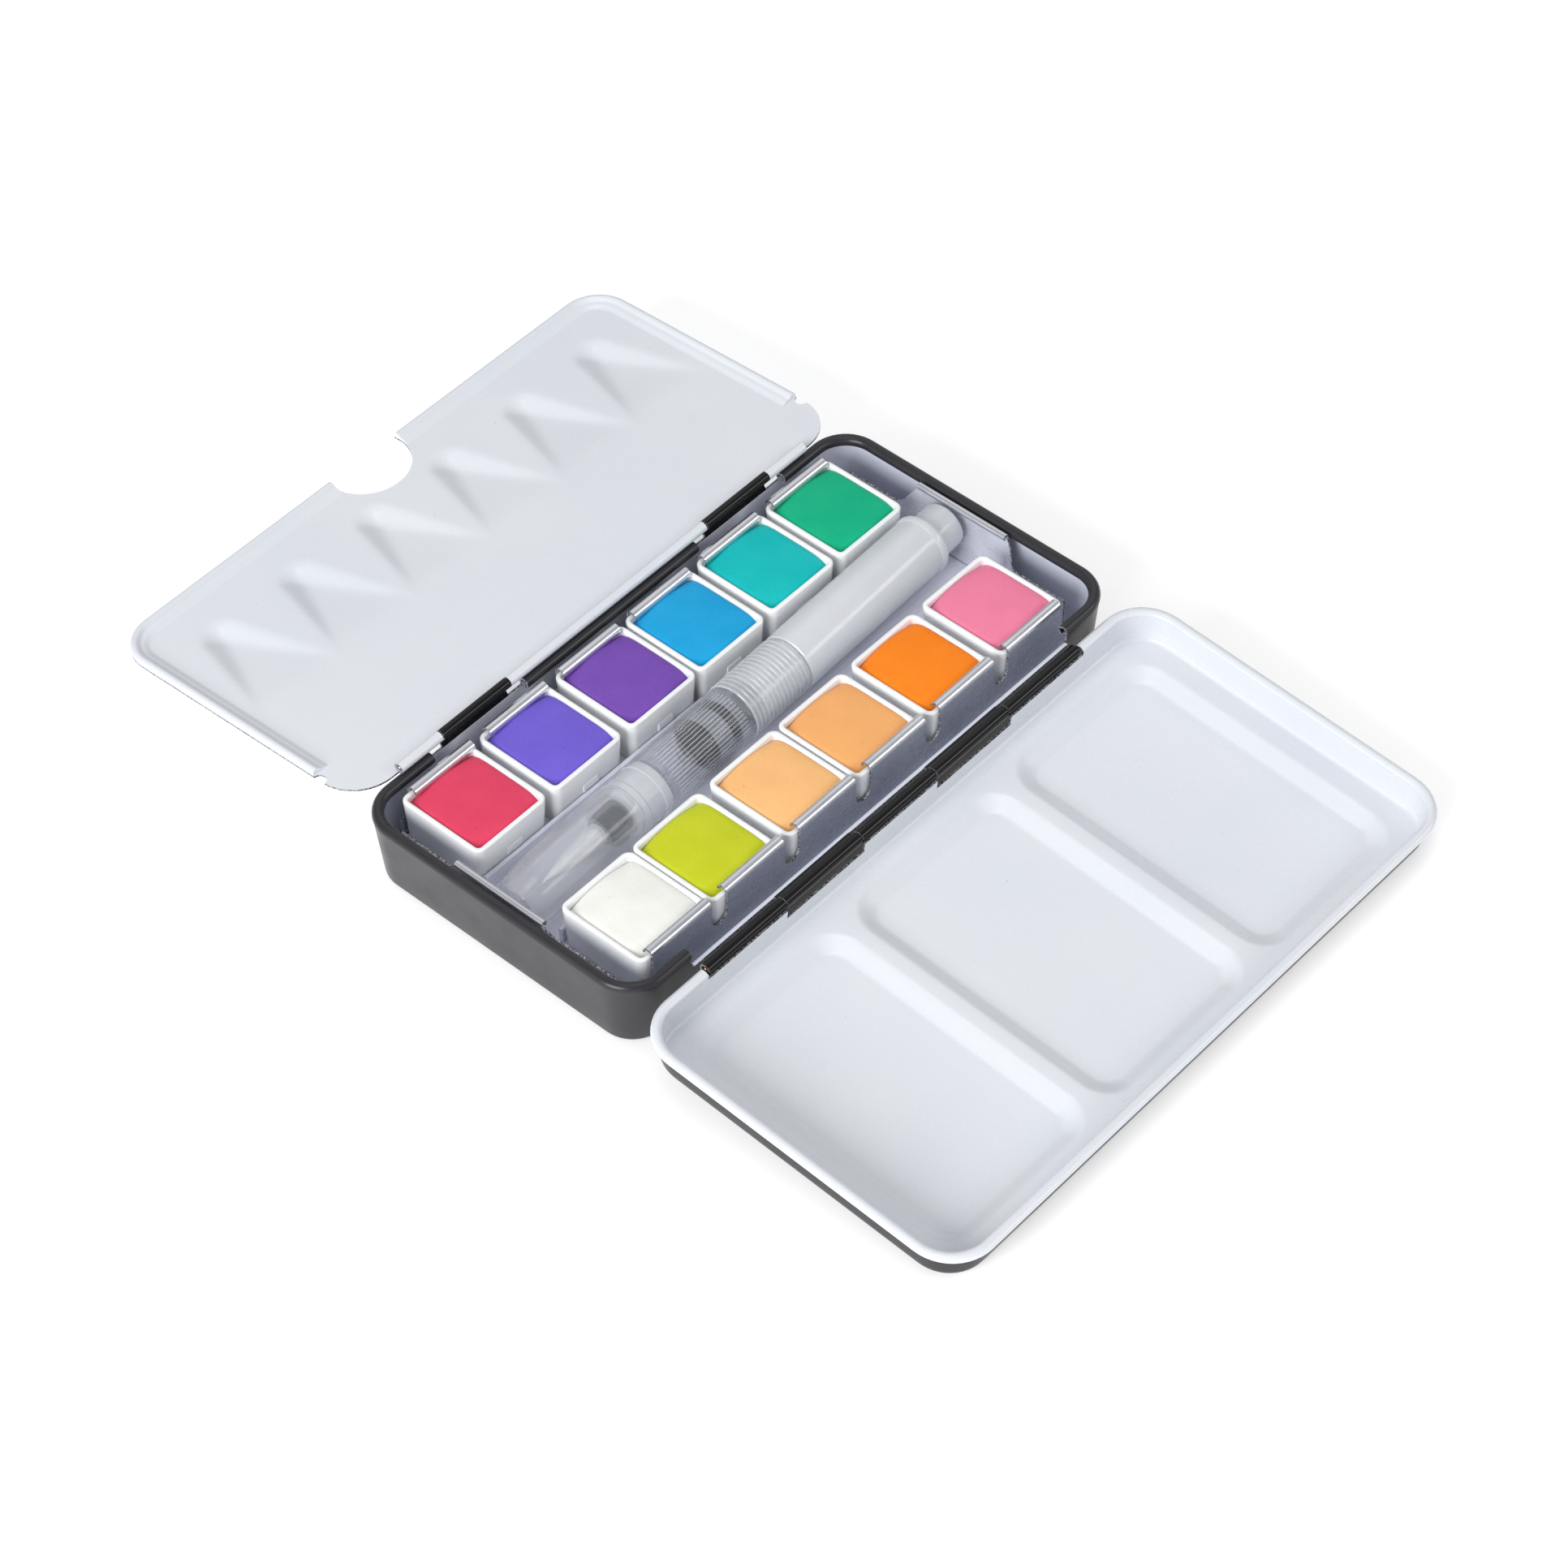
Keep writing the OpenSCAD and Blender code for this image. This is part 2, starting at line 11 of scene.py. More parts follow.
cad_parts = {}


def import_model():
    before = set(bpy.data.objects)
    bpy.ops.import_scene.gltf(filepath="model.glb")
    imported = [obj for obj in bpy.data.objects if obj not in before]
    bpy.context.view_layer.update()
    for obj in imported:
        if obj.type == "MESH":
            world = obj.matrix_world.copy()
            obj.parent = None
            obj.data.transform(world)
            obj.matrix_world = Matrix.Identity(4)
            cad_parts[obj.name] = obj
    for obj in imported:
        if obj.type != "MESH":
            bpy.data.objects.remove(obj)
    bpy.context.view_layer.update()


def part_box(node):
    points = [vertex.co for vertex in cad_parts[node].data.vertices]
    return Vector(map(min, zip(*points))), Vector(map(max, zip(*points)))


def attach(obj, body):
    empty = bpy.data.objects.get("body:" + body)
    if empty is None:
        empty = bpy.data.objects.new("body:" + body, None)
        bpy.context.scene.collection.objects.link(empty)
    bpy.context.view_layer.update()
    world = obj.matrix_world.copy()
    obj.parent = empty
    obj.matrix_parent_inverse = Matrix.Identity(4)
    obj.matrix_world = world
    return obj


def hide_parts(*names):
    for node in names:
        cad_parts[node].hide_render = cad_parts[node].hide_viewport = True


MM = 0.001
SHEET = 0.4

# Tray, over its rolled rim
TRAY_HALF = (60.1, 31.0)
TRAY_R = 7.5
TRAY_H = 15.0
TRAY_LEAN = 1.3
RIM_R = 1.05
HINGE_CUT = 46.5
RIM_GAP = (21.0, 43.0)
STRIP_Z = 11.6
STRIP_T = 0.45
STRIP_OUT = 31.35
WALL_TOP = 13.9
WALL_TOP_GAP = 13.2
WALL_TOP_HINGE = STRIP_Z - 0.3

# Hinges: axes, knuckles and wires
LID_AXIS = (-33.15, 12.0)
LEAF_AXIS = (30.65, 16.15)
KNUCKLE_R = 1.15
KNUCKLE_PITCH = 18.4
KNUCKLE_HALF = 9.05
LID_WIRE_R = 0.55
LID_WIRE_HALF = 46.0
ROLL_R = 0.95
LEAF_WIRE_R = 0.45
LEAF_WIRE_HALF = 49.5
LEAF_KNUCKLE = (32.0, 7.75)
LEAF_ROLLS = ((-49.5, -40.05), (-23.95, 23.95), (40.05, 49.5))

# Lid, in its own frame: hinge line on the origin, lid towards -Y
LID_HALF = (63.3, 33.7)
LID_R = 8.6
LID_BACK = 0.5
LID_DROOP = 4.267
LID_WALL = 1.5
LID_LEDGE = -6.2
LID_EDGE_PLAIN = -0.6
LID_EDGE_KNUCKLE = -2.5
LID_GAP = 0.3
LID_WELL_DROP = 1.5
LID_MID_Y = LID_BACK - LID_HALF[1]
BEAD_TOP = 0.8
BEAD_BOTTOM = -0.7
WELL_HALF_Y = 27.9
WELL_R = 6.0
WELL_RUN = 3.0
WELL_SPANS = ((-56.8, -21.5), (-18.5, 18.5), (21.5, 56.8))

# Mixing leaf, in its own frame: hinge line on the origin, leaf towards +Y
LEAF_HALF = 59.1
LEAF_REACH = 58.6
LEAF_DROOP = -3.3
LEAF_TOP = -0.55
LEAF_SHEET = 0.38
LEAF_R_HINGE = 8.0
LEAF_R_FREE = 7.4
LEAF_BORDER_FROM = 10.2
# The border's fold: (inset, rise above the sheet's top)
LEAF_BORDER = ((0.45, -LEAF_SHEET), (0.12, -0.2), (0.0, 0.3), (0.1, 0.75), (0.4, 1.02), (0.8, 1.1),
               (1.2, 0.98), (1.5, 0.72), (1.68, 0.52), (1.9, 0.45), (2.2, 0.44), (2.5, 0.36),
               (2.8, 0.2), (3.1, 0.06), (3.4, 0.0), (3.4, -0.2))
THUMB = (57.5, 8.0)
NOTCH = (7.8, 1.2)
FAN_PITCH = 18.25
FAN_COUNT = 6
FAN_START = 28.5
FAN_START_HALF = 7.7
FAN_ROUND = (45.5, 3.3)
FAN_DEPTH = 1.5
FAN_SIDE_SLOPE = 0.42
FAN_LEAD = 6.0
FAN_GROW = 0.5
FAN_SOFT_FLOOR = 0.3
FAN_SOFT_EDGE = 0.25
FAN_LIFT = 0.035

# Insert
INSERT_Y = 0.8
INSERT_HALF = (55.4, 27.15)
INSERT_FLOOR = 4.8
INSERT_FOOT = 0.9
TAB_W = 13.8
TAB_PITCH = 17.45
HOOK_R = 1.1
HOOK_T = 0.4
HOOK_Z = 13.95
SLOT_Z = 8.3
END_TAB_HALF = 9.7
END_TAB_X = 57.6
END_SKIRT_X = 55.4
END_SKIRT_Z = 9.8
END_ROLL_R = 0.65
END_SHOULDER = 13.0
RIB_Y = 8.4
RIB_W = 0.8
RIB_TOP = 8.0
RIB_HALF = 52.3

# Pans
PANS = 6
PAN_HALF = (8.2, 9.05)
PAN_H = 9.1
PAN_R = 1.6
PAN_DRAFT = 0.5
PAN_WALL = 0.92
PAN_LIP = 0.35
PAN_FLOOR = 1.0
PAN_STOP_HALF = 1.7

# Water brush: stations along its own axis
BRUSH_Y = 1.5
BRUSH_Z = 10.5
BRUSH_YAW = 2.2
BODY_R = 5.35
BODY_BORE = 4.5
BODY_STEPS = 192
TURN_STEPS = 72
FLUTES = (-20.5, -2.5)
FLUTES_FROM_R = 5
FLUTE_STEPS = 4
FLUTE_DEPTH = 0.014
THREAD_RINGS = 14
THREAD_FROM = -1.0
THREAD_PITCH = 1.0

# Camera: where it stands, what it looks at, its roll and its lens
CAMERA_AT = (-391.584, -368.673, 591.298)
CAMERA_TARGET = (-0.337, -9.066, 0.0)
CAMERA_ROLL = -1.261
CAMERA_LENS = 109.79

# Lights, in metres: name, place, size and watts. All are aimed at the origin
LIGHTS = (
    ("Key", (-1.08, -0.12, 0.54), (0.7, 0.6), 13.0),
    ("Top", (0.0, 0.0, 1.3), (0.6, 0.6), 1.6),
    ("Back", (0.62, 0.58, 0.95), (1.1, 0.8), 1.4),
    ("Right", (0.50, -0.72, 0.50), (0.8, 0.2), 2.0),
)
SKY = (0.985, 0.99, 1.0, 1)
SKY_STRENGTH = 0.44
FLOOR_REACH = 6.0

SIDES = (-1, 1)

# Finishes by their place in a piece's list of looks. Enamelled pieces: main face, other face, cut edge, gloss
FACE, BACK, RAW, GLOSS = range(4)
# Insert: skirts and hooks, cut edge, ends, floor (painted light: a lighter, near-matte copy of the tinplate),
# finger tabs' rolls
SKIRT, CUT, END, FLOOR, ROLL = range(5)
# Turned pieces of the brush: main look, second look
MAIN, SECOND = range(2)


# ---------- meshes ----------

class Shell:
    """Corner points in millimetres and the faces between them, each face with the number of its finish."""

    def __init__(self):
        self.points = []
        self.faces = []
        self.finishes = []

    def add(self, points):
        first = len(self.points)
        self.points += [Vector(p) for p in points]
        return list(range(first, len(self.points)))

    def face(self, corners, finish=FACE):
        self.faces.append(tuple(corners))
        self.finishes.append(finish)

    def join(self, ring, following, finishes, closed=True):
        """Quads between two rings of equal length; finishes is one number or one for each side."""
        count = len(ring)
        for i in range(count if closed else count - 1):
            j = (i + 1) % count
            finish = finishes if isinstance(finishes, int) else finishes[i]
            self.face((ring[i], ring[j], following[j], following[i]), finish)

    def piece(self, name, looks, matrix=None, sharp=35):
        """Turns the shell into an object in metres, with clean outward faces."""
        mesh = bpy.data.meshes.new(name)
        mesh.from_pydata([p * MM for p in self.points], [], self.faces)
        mesh.polygons.foreach_set("material_index", self.finishes)
        for look in looks:
            mesh.materials.append(look)
        shape = bmesh.new()
        shape.from_mesh(mesh)
        bmesh.ops.remove_doubles(shape, verts=shape.verts, dist=1e-7)
        loose = [v for v in shape.verts if not v.link_faces]
        bmesh.ops.delete(shape, geom=loose, context="VERTS")
        bmesh.ops.recalc_face_normals(shape, faces=shape.faces)
        shape.to_mesh(mesh)
        shape.free()
        if matrix is not None:
            mesh.transform(matrix)
        mesh.shade_smooth()
        mesh.set_sharp_from_angle(angle=math.radians(sharp))
        piece = bpy.data.objects.new(name, mesh)
        bpy.context.scene.collection.objects.link(piece)
        return piece


def arc(centre, radius, start, end, steps):
    """Points on an arc in a section plane, angles in degrees."""
    turns = [math.radians(start + (end - start) * k / steps) for k in range(steps + 1)]
    return [(centre[0] + radius * math.cos(a), centre[1] + radius * math.sin(a)) for a in turns]


def curl(centre, radius, thickness, start, end, steps):
    """The section of a sheet rolled round a centre, as a closed outline."""
    return arc(centre, radius, start, end, steps) + arc(centre, radius - thickness, end, start, steps)


def extrude(shell, section, start, end, finishes, cap, axis="x", mirror=1):
    """A closed section swept straight along X or Y. A section point is (across, up)."""
    def at(station):
        if axis == "x":
            return [(station, mirror * a, z) for a, z in section]
        return [(mirror * a, station, z) for a, z in section]
    near = shell.add(at(start))
    far = shell.add(at(end))
    shell.join(near, far, finishes)
    shell.face(near, cap)
    shell.face(far, cap)


def turned(shell, profile, steps, finishes=MAIN):
    """A closed profile of (station, radius) points turned about X. A radius of 0 closes on the axis."""
    rings = []
    for k in range(steps):
        angle = 2 * math.pi * k / steps
        rings.append(shell.add([(x, r * math.cos(angle), r * math.sin(angle)) for x, r in profile]))
    for k in range(steps):
        shell.join(rings[k], rings[(k + 1) % steps], finishes, closed=profile[0][1] > 0)


# ---------- outlines ----------

def outline(half, radius, centre_y=0.0, cuts_low=(), cuts_high=(), steps=12):
    """Stations round a rectangle with round corners, anticlockwise from the middle of the -Y side.
    A station is (centre, direction, radius, corner): the outline lies at centre + direction * radius."""
    reach = (half[0] - radius, half[1] - radius)
    stations = []

    def side(xs, sy):
        for x in xs:
            stations.append((Vector((x, centre_y + sy * reach[1])), Vector((0, sy)), radius, None))

    def corner(sx, sy, start):
        for k in range(steps + 1):
            angle = math.radians(start + 90 * k / steps)
            stations.append((Vector((sx * reach[0], centre_y + sy * reach[1])),
                             Vector((math.cos(angle), math.sin(angle))), radius, Vector((sx, sy))))

    side(sorted(x for x in cuts_low if x > 0), -1)
    corner(1, -1, -90)
    corner(1, 1, 0)
    side(sorted(cuts_high, reverse=True), 1)
    corner(-1, 1, 90)
    corner(-1, -1, 180)
    side(sorted(x for x in cuts_low if x < 0), -1)
    return stations


def inset_point(station, inset):
    centre, direction, radius, corner = station
    if inset <= radius or corner is None:
        return centre + direction * (radius - inset)
    return centre + corner * (radius - inset)


def midpoints(stations):
    """The middle of each side of an outline."""
    count = len(stations)
    return [(inset_point(stations[i], 0) + inset_point(stations[(i + 1) % count], 0)) / 2
            for i in range(count)]


def ring(shell, station, profile):
    """A profile of (inset, z) points stood up at one station."""
    return shell.add([(*inset_point(station, d), z) for d, z in profile])


def sweep_loop(shell, stations, profile, finishes):
    """An open profile swept all round an outline. Returns the first and the last loop of points."""
    rings = [ring(shell, s, profile) for s in stations]
    for k, r in enumerate(rings):
        shell.join(r, rings[(k + 1) % len(rings)], finishes, closed=False)
    return [r[0] for r in rings], [r[-1] for r in rings]


def runs(stations, keep):
    """The stretches of an outline whose middle points satisfy keep, as lists of stations."""
    count = len(stations)
    kept = [keep(middle) for middle in midpoints(stations)]
    first = kept.index(False) if False in kept else 0
    found = []
    current = []
    for k in range(1, count + 1):
        i = (first + k) % count
        if kept[i]:
            current = current or [stations[i]]
            current.append(stations[(i + 1) % count])
        elif current:
            found.append(current)
            current = []
    return found + ([current] if current else [])


def sweep_run(shell, stations, section, finishes, cap):
    """A closed section of (inset, z) points swept along a stretch of outline, with flat ends."""
    rings = [ring(shell, s, section) for s in stations]
    for a, b in zip(rings, rings[1:]):
        shell.join(a, b, finishes)
    shell.face(rings[0], cap)
    shell.face(rings[-1], cap)


def wall(shell, stations, profile, top_at, finishes):
    """A closed sheet section swept all round. profile(top) lists (inset, z) points, cut level at top."""
    count = len(stations)
    tops = [top_at(middle) for middle in midpoints(stations)]
    ends = {}
    loops = []
    for i in range(count):
        j = (i + 1) % count
        for k in (i, j):
            if (k, tops[i]) not in ends:
                ends[k, tops[i]] = ring(shell, stations[k], profile(tops[i]))
        shell.join(ends[i, tops[i]], ends[j, tops[i]], finishes, closed=False)
        loops.append(ends[i, tops[i]])
    for i in range(count):
        if tops[i] != tops[i - 1]:
            shell.join(ends[i, tops[i - 1]], ends[i, tops[i]], RAW, closed=False)
    return [r[0] for r in loops], [r[-1] for r in loops]


def fill(shell, outer, holes, finish):
    """Triangles between a loop of points and the holes in it, all in one level plane."""
    loops = [outer, *holes]
    order = [i for loop in loops for i in loop]
    flat = [[Vector(shell.points[i][:2]).to_3d() for i in loop] for loop in loops]
    for triangle in geometry.tessellate_polygon(flat):
        shell.face([order[i] for i in triangle], finish)


def pressed(shell, loops, height, thickness, step, box, finish):
    """A level sheet cut to flat loops, with its top at height(u, v). finish is (top, underside, cut edge).
    Points are spaced by step inside box, where the sheet has its relief."""
    flat = [Vector(p) for loop in loops for p in loop]
    sides = []
    first = 0
    for loop in loops:
        sides += [(first + i, first + (i + 1) % len(loop)) for i in range(len(loop))]
        first += len(loop)
    (u0, v0), (u1, v1) = box
    for i in range(int((u1 - u0) / step) + 1):
        for j in range(int((v1 - v0) / step) + 1):
            shift = step / 2 if j % 2 else 0
            flat.append(Vector((u0 + i * step + shift, v0 + j * step)))
    points, _, triangles, _, _, _ = geometry.delaunay_2d_cdt(flat, sides, [], 2, 1e-4)
    top = shell.add([(p.x, p.y, height(p.x, p.y)) for p in points])
    back = shell.add([(p.x, p.y, height(p.x, p.y) - thickness) for p in points])
    seen = {}
    for t in triangles:
        shell.face([top[i] for i in t], finish[0])
        shell.face([back[i] for i in t], finish[1])
        for i, j in zip(t, (*t[1:], t[0])):
            key = (min(i, j), max(i, j))
            seen[key] = seen.get(key, 0) + 1
    for (i, j), uses in seen.items():
        if uses == 1:
            shell.face((top[i], top[j], back[j], back[i]), finish[2])


def smooth(t):
    """An even rise from 0 to 1 that is level at both ends."""
    t = min(max(t, 0.0), 1.0)
    return t * t * (3 - 2 * t)


def quarter(radius, steps):
    """A quarter turn from level to upright: each point's distance from the upright side, and its height."""
    turns = [k * math.pi / (2 * steps) for k in range(steps + 1)]
    return [(radius * (1 - math.sin(a)), radius * (1 - math.cos(a))) for a in turns]


def sheet_finishes(section, outside, inside):
    """Finishes along an open sheet section: one face, the cut edge, the other face."""
    run = len(section) // 2 - 1
    return [outside] * run + [RAW] + [inside] * run


# ---------- finishes ----------

def linear(red, green, blue):
    """A screen colour, 0 to 255, as linear light."""
    def channel(c):
        c /= 255
        return c / 12.92 if c <= 0.04045 else ((c + 0.055) / 1.055) ** 2.4
    return (channel(red), channel(green), channel(blue), 1)


class Look:
    """A procedural finish in the piece's own space: noise drives its colour, roughness and relief."""

    def __init__(self, name, **sockets):
        self.material = bpy.data.materials.new(name)
        self.material.use_nodes = True
        self.tree = self.material.node_tree
        self.shader = self.tree.nodes["Principled BSDF"]
        for socket, value in sockets.items():
            self.shader.inputs[socket.replace("_", " ")].default_value = value
        self.space = self.tree.nodes.new("ShaderNodeTexCoord").outputs["Object"]

    def noise(self, size, detail=3.0, stretch=(1, 1, 1), roughness=0.5):
        """Noise whose features are about size millimetres across, drawn out by stretch."""
        mapping = self.tree.nodes.new("ShaderNodeMapping")
        mapping.inputs["Scale"].default_value = [1 / (size * MM * s) for s in stretch]
        texture = self.tree.nodes.new("ShaderNodeTexNoise")
        texture.inputs["Scale"].default_value = 1
        texture.inputs["Detail"].default_value = detail
        texture.inputs["Roughness"].default_value = roughness
        self.tree.links.new(self.space, mapping.inputs["Vector"])
        self.tree.links.new(mapping.outputs["Vector"], texture.inputs["Vector"])
        return texture.outputs["Fac"]

    def between(self, value, start, end, low=0.0, high=1.0):
        """value mapped from start..end to low..high and held there."""
        node = self.tree.nodes.new("ShaderNodeMapRange")
        for socket, number in (("From Min", start), ("From Max", end), ("To Min", low), ("To Max", high)):
            node.inputs[socket].default_value = number
        self.tree.links.new(value, node.inputs["Value"])
        return node.outputs["Result"]

    def spread(self, value, low=0.0, high=1.0):
        """The range that a noise mostly covers, mapped to low..high."""
        return self.between(value, 0.3, 0.7, low, high)

    def mix(self, factor, low, high):
        """Colour from low to high; either may be a colour or an output."""
        node = self.tree.nodes.new("ShaderNodeMix")
        node.data_type = "RGBA"
        self.tree.links.new(factor, node.inputs["Factor"])
        for socket, value in ((node.inputs[6], low), (node.inputs[7], high)):
            if isinstance(value, tuple):
                socket.default_value = value
            else:
                self.tree.links.new(value, socket)
        return node.outputs[2]

    def drive(self, socket, value):
        self.tree.links.new(value, self.shader.inputs[socket])

    def relief(self, *layers):
        """Bump from (value, depth in millimetres) layers, one on another."""
        normal = None
        for value, depth in layers:
            node = self.tree.nodes.new("ShaderNodeBump")
            node.inputs["Distance"].default_value = depth * MM
            self.tree.links.new(value, node.inputs["Height"])
            if normal is not None:
                self.tree.links.new(normal, node.inputs["Normal"])
            normal = node.outputs["Normal"]
        self.drive("Normal", normal)


def enamel(name, colour, cooler, rough, gloss, specks, shine=0.5):
    """Stove enamel on sheet metal: faint orange peel, a slow drift in colour, a few specks of dust."""
    look = Look(name, Coat_Weight=gloss, Coat_Roughness=0.12, Specular_IOR_Level=shine)
    drift = look.spread(look.noise(28))
    dust = look.between(look.noise(0.6, detail=1), 0.83, 0.86)
    look.drive("Base Color", look.mix(dust, look.mix(drift, colour, cooler), specks))
    look.drive("Roughness", look.spread(look.noise(6), rough - 0.05, rough + 0.06))
    look.relief((look.noise(2.6, detail=1), 0.002), (look.noise(0.4), 0.0005))
    return look.material


def sheet_metal(name, light, dark, metal, grain):
    """Bare rolled sheet: fine lines along the roll, cloudy patches and small pits."""
    look = Look(name, Metallic=metal)
    rough = 0.27
    lines = look.noise(0.5, detail=2, stretch=grain)
    clouds = look.spread(look.noise(9))
    look.drive("Base Color", look.mix(clouds, light, dark))
    look.drive("Roughness", look.spread(lines, rough - 0.03, rough + 0.05))
    look.relief((lines, 0.00012), (look.noise(1.2), 0.0003))
    return look.material


def raw_edge(name, light, dark):
    """The cut edge of enamelled sheet: bright steel flecks between chipped paint."""
    look = Look(name, Metallic=0.6)
    flecks = look.between(look.noise(0.3, detail=4), 0.42, 0.6)
    look.drive("Base Color", look.mix(flecks, dark, light))
    look.drive("Roughness", look.spread(look.noise(0.2), 0.3, 0.6))
    look.relief((flecks, 0.03))
    return look.material


def wire(name, light, dark):
    """Drawn wire: scratches along its length and a little tarnish."""
    look = Look(name, Metallic=1.0)
    look.drive("Base Color", look.mix(look.between(look.noise(1.5), 0.35, 0.65), light, dark))
    look.drive("Roughness", look.spread(look.noise(0.2, stretch=(30, 1, 1)), 0.22, 0.42))
    look.relief((look.noise(0.15, stretch=(30, 1, 1)), 0.006))
    return look.material


def moulded(name, colour, shade, rough, light_through):
    """Glossy moulded plastic with soft flow marks and a faint texture from the mould."""
    look = Look(name, Subsurface_Weight=light_through, Subsurface_Scale=0.002, IOR=1.49)
    look.drive("Base Color", look.mix(look.between(look.noise(7), 0.35, 0.65), colour, shade))
    look.drive("Roughness", look.spread(look.noise(3), rough - 0.05, rough + 0.08))
    look.relief((look.noise(4, detail=1), 0.02), (look.noise(0.3), 0.002))
    return look.material


def cake(name, colour):
    """Cast watercolour: a matt skin with a fine grain and a few sunk pits, painted darker as shade in the
    pits.
    """
    painted_pit_shade = tuple(c * 0.80 for c in colour[:3]) + (1,)
    pale = tuple(min(1.0, c * 1.08 + 0.012) for c in colour[:3]) + (1,)
    look = Look(name, Specular_IOR_Level=0.16, Sheen_Weight=0.04, Sheen_Roughness=0.5)
    grain = look.noise(0.35, detail=5, roughness=0.65)
    # The pits are sunk by the relief and darkened in colour: painted shade.
    pits = look.between(look.noise(0.8, detail=2), 0.74, 0.8)
    body = look.mix(look.spread(look.noise(6)), colour, pale)
    look.drive("Base Color", look.mix(pits, look.mix(look.between(grain, 0.35, 0.75), body, colour), painted_pit_shade))
    look.drive("Roughness", look.spread(grain, 0.55, 0.75))
    look.relief((look.noise(5, detail=1), 0.10), (grain, 0.03), (pits, -0.06))
    return look.material


def clear(name, tint, rough, bend, through, cover):
    """Clear or frosted plastic: light passes, with moulding streaks along the brush."""
    look = Look(name, Transmission_Weight=through, IOR=bend, Alpha=cover,
                Coat_Weight=0.6, Coat_Roughness=0.04)
    shade = tuple(c * 0.96 for c in tint[:3]) + (1,)
    lines = look.noise(0.5, detail=2, stretch=(60, 1, 1))
    cloud = look.noise(5)
    look.drive("Base Color", look.mix(look.spread(cloud), tint, shade))
    look.drive("Roughness", look.spread(cloud, rough, rough * 1.5))
    look.relief((lines, 0.006), (look.noise(2.5), 0.004))
    return look.material


def rubber(name, colour):
    look = Look(name)
    grain = look.noise(0.3, detail=4)
    pale = tuple(c * 1.5 + 0.01 for c in colour[:3]) + (1,)
    look.drive("Base Color", look.mix(look.between(grain, 0.4, 0.7), colour, pale))
    look.drive("Roughness", look.spread(grain, 0.45, 0.7))
    look.relief((grain, 0.02))
    return look.material


def fibre(name, light, dark):
    """Bristles: fine parallel filaments."""
    look = Look(name, Subsurface_Weight=0.2, Subsurface_Scale=0.001)
    strands = look.noise(0.16, detail=2, stretch=(80, 1, 1))
    look.drive("Base Color", look.mix(look.between(strands, 0.35, 0.65), dark, light))
    look.drive("Roughness", look.spread(strands, 0.3, 0.55))
    look.relief((strands, 0.05))
    return look.material


def plain_floor(name):
    look = Look(name, Specular_IOR_Level=0.2, Emission_Color=(1, 1, 1, 1), Emission_Strength=0.35)
    look.drive("Base Color", look.mix(look.noise(90), (0.90, 0.90, 0.90, 1), (0.92, 0.92, 0.92, 1)))
    look.drive("Roughness", look.spread(look.noise(20), 0.7, 0.8))
    look.relief((look.noise(3), 0.01))
    return look.material


# ---------- sheet-metal pieces ----------

def tray_lean(z):
    """How far in from the rim's outline the wall stands at a height."""
    return TRAY_LEAN * (1 - min(z, TRAY_H) / TRAY_H)


def tray_section(top):
    """The tray's sheet from the middle of its foot, up outside, over its edge at top and down inside."""
    foot_r = 1.3
    floor_r = 1.0
    steps = 5
    levels = (4.0, 8.0, WALL_TOP_HINGE, WALL_TOP_GAP, WALL_TOP)
    outside = [(tray_lean(z) + d, z) for d, z in quarter(foot_r, steps)]
    inside = [(tray_lean(z) + d + SHEET, z + SHEET) for d, z in quarter(floor_r, steps)]
    up = [(tray_lean(min(z, top)), min(z, top)) for z in levels]
    down = [(tray_lean(min(z, top)) + SHEET, min(z, top)) for z in reversed(levels)]
    return outside + up + down + inside[::-1]


def tray_top(middle):
    """Height of the wall's edge: low for the lid hinge, lower than the rim beside the leaf's knuckles."""
    side = TRAY_HALF[1] - 1
    if middle.y < -side and abs(middle.x) < HINGE_CUT:
        return WALL_TOP_HINGE
    if middle.y > side and RIM_GAP[0] < abs(middle.x) < RIM_GAP[1]:
        return WALL_TOP_GAP
    return WALL_TOP


def make_tray(looks):
    """The tray: its pressed sheet, rolled rim, hinge strip and leaf knuckles."""
    shell = Shell()
    cuts_high = [s * x for s in SIDES for x in RIM_GAP]
    stations = outline(TRAY_HALF, TRAY_R, cuts_low=(-HINGE_CUT, HINGE_CUT), cuts_high=cuts_high)
    finishes = sheet_finishes(tray_section(TRAY_H), FACE, BACK)
    foot, floor = wall(shell, stations, tray_section, tray_top, finishes)
    shell.face(foot, FACE)
    shell.face(floor, BACK)
    # Rolled rim
    steps = 18
    rim = curl((RIM_R, TRAY_H - RIM_R), RIM_R, SHEET, 190, -75, steps)
    for run in runs(stations, lambda m: tray_top(m) == WALL_TOP):
        sweep_run(shell, run, rim, ([FACE] * steps + [RAW]) * 2, RAW)
    hinge_strip(shell)
    # Tabs that end in the leaf's knuckles
    face_y = LEAF_AXIS[0] + ROLL_R
    outer = [(30.86, 12.6), (30.9, 13.3), (face_y - 0.08, 14.2)]
    inner = [(face_y - 0.5, 14.4), (30.5, 13.5), (30.46, 12.6)]
    tab = outer + curl(LEAF_AXIS, ROLL_R, SHEET, 0, 300, 26) + inner
    middle, half = LEAF_KNUCKLE
    for s in SIDES:
        extrude(shell, tab, s * middle - half, s * middle + half, GLOSS, RAW)
    return shell.piece("Tray", looks)


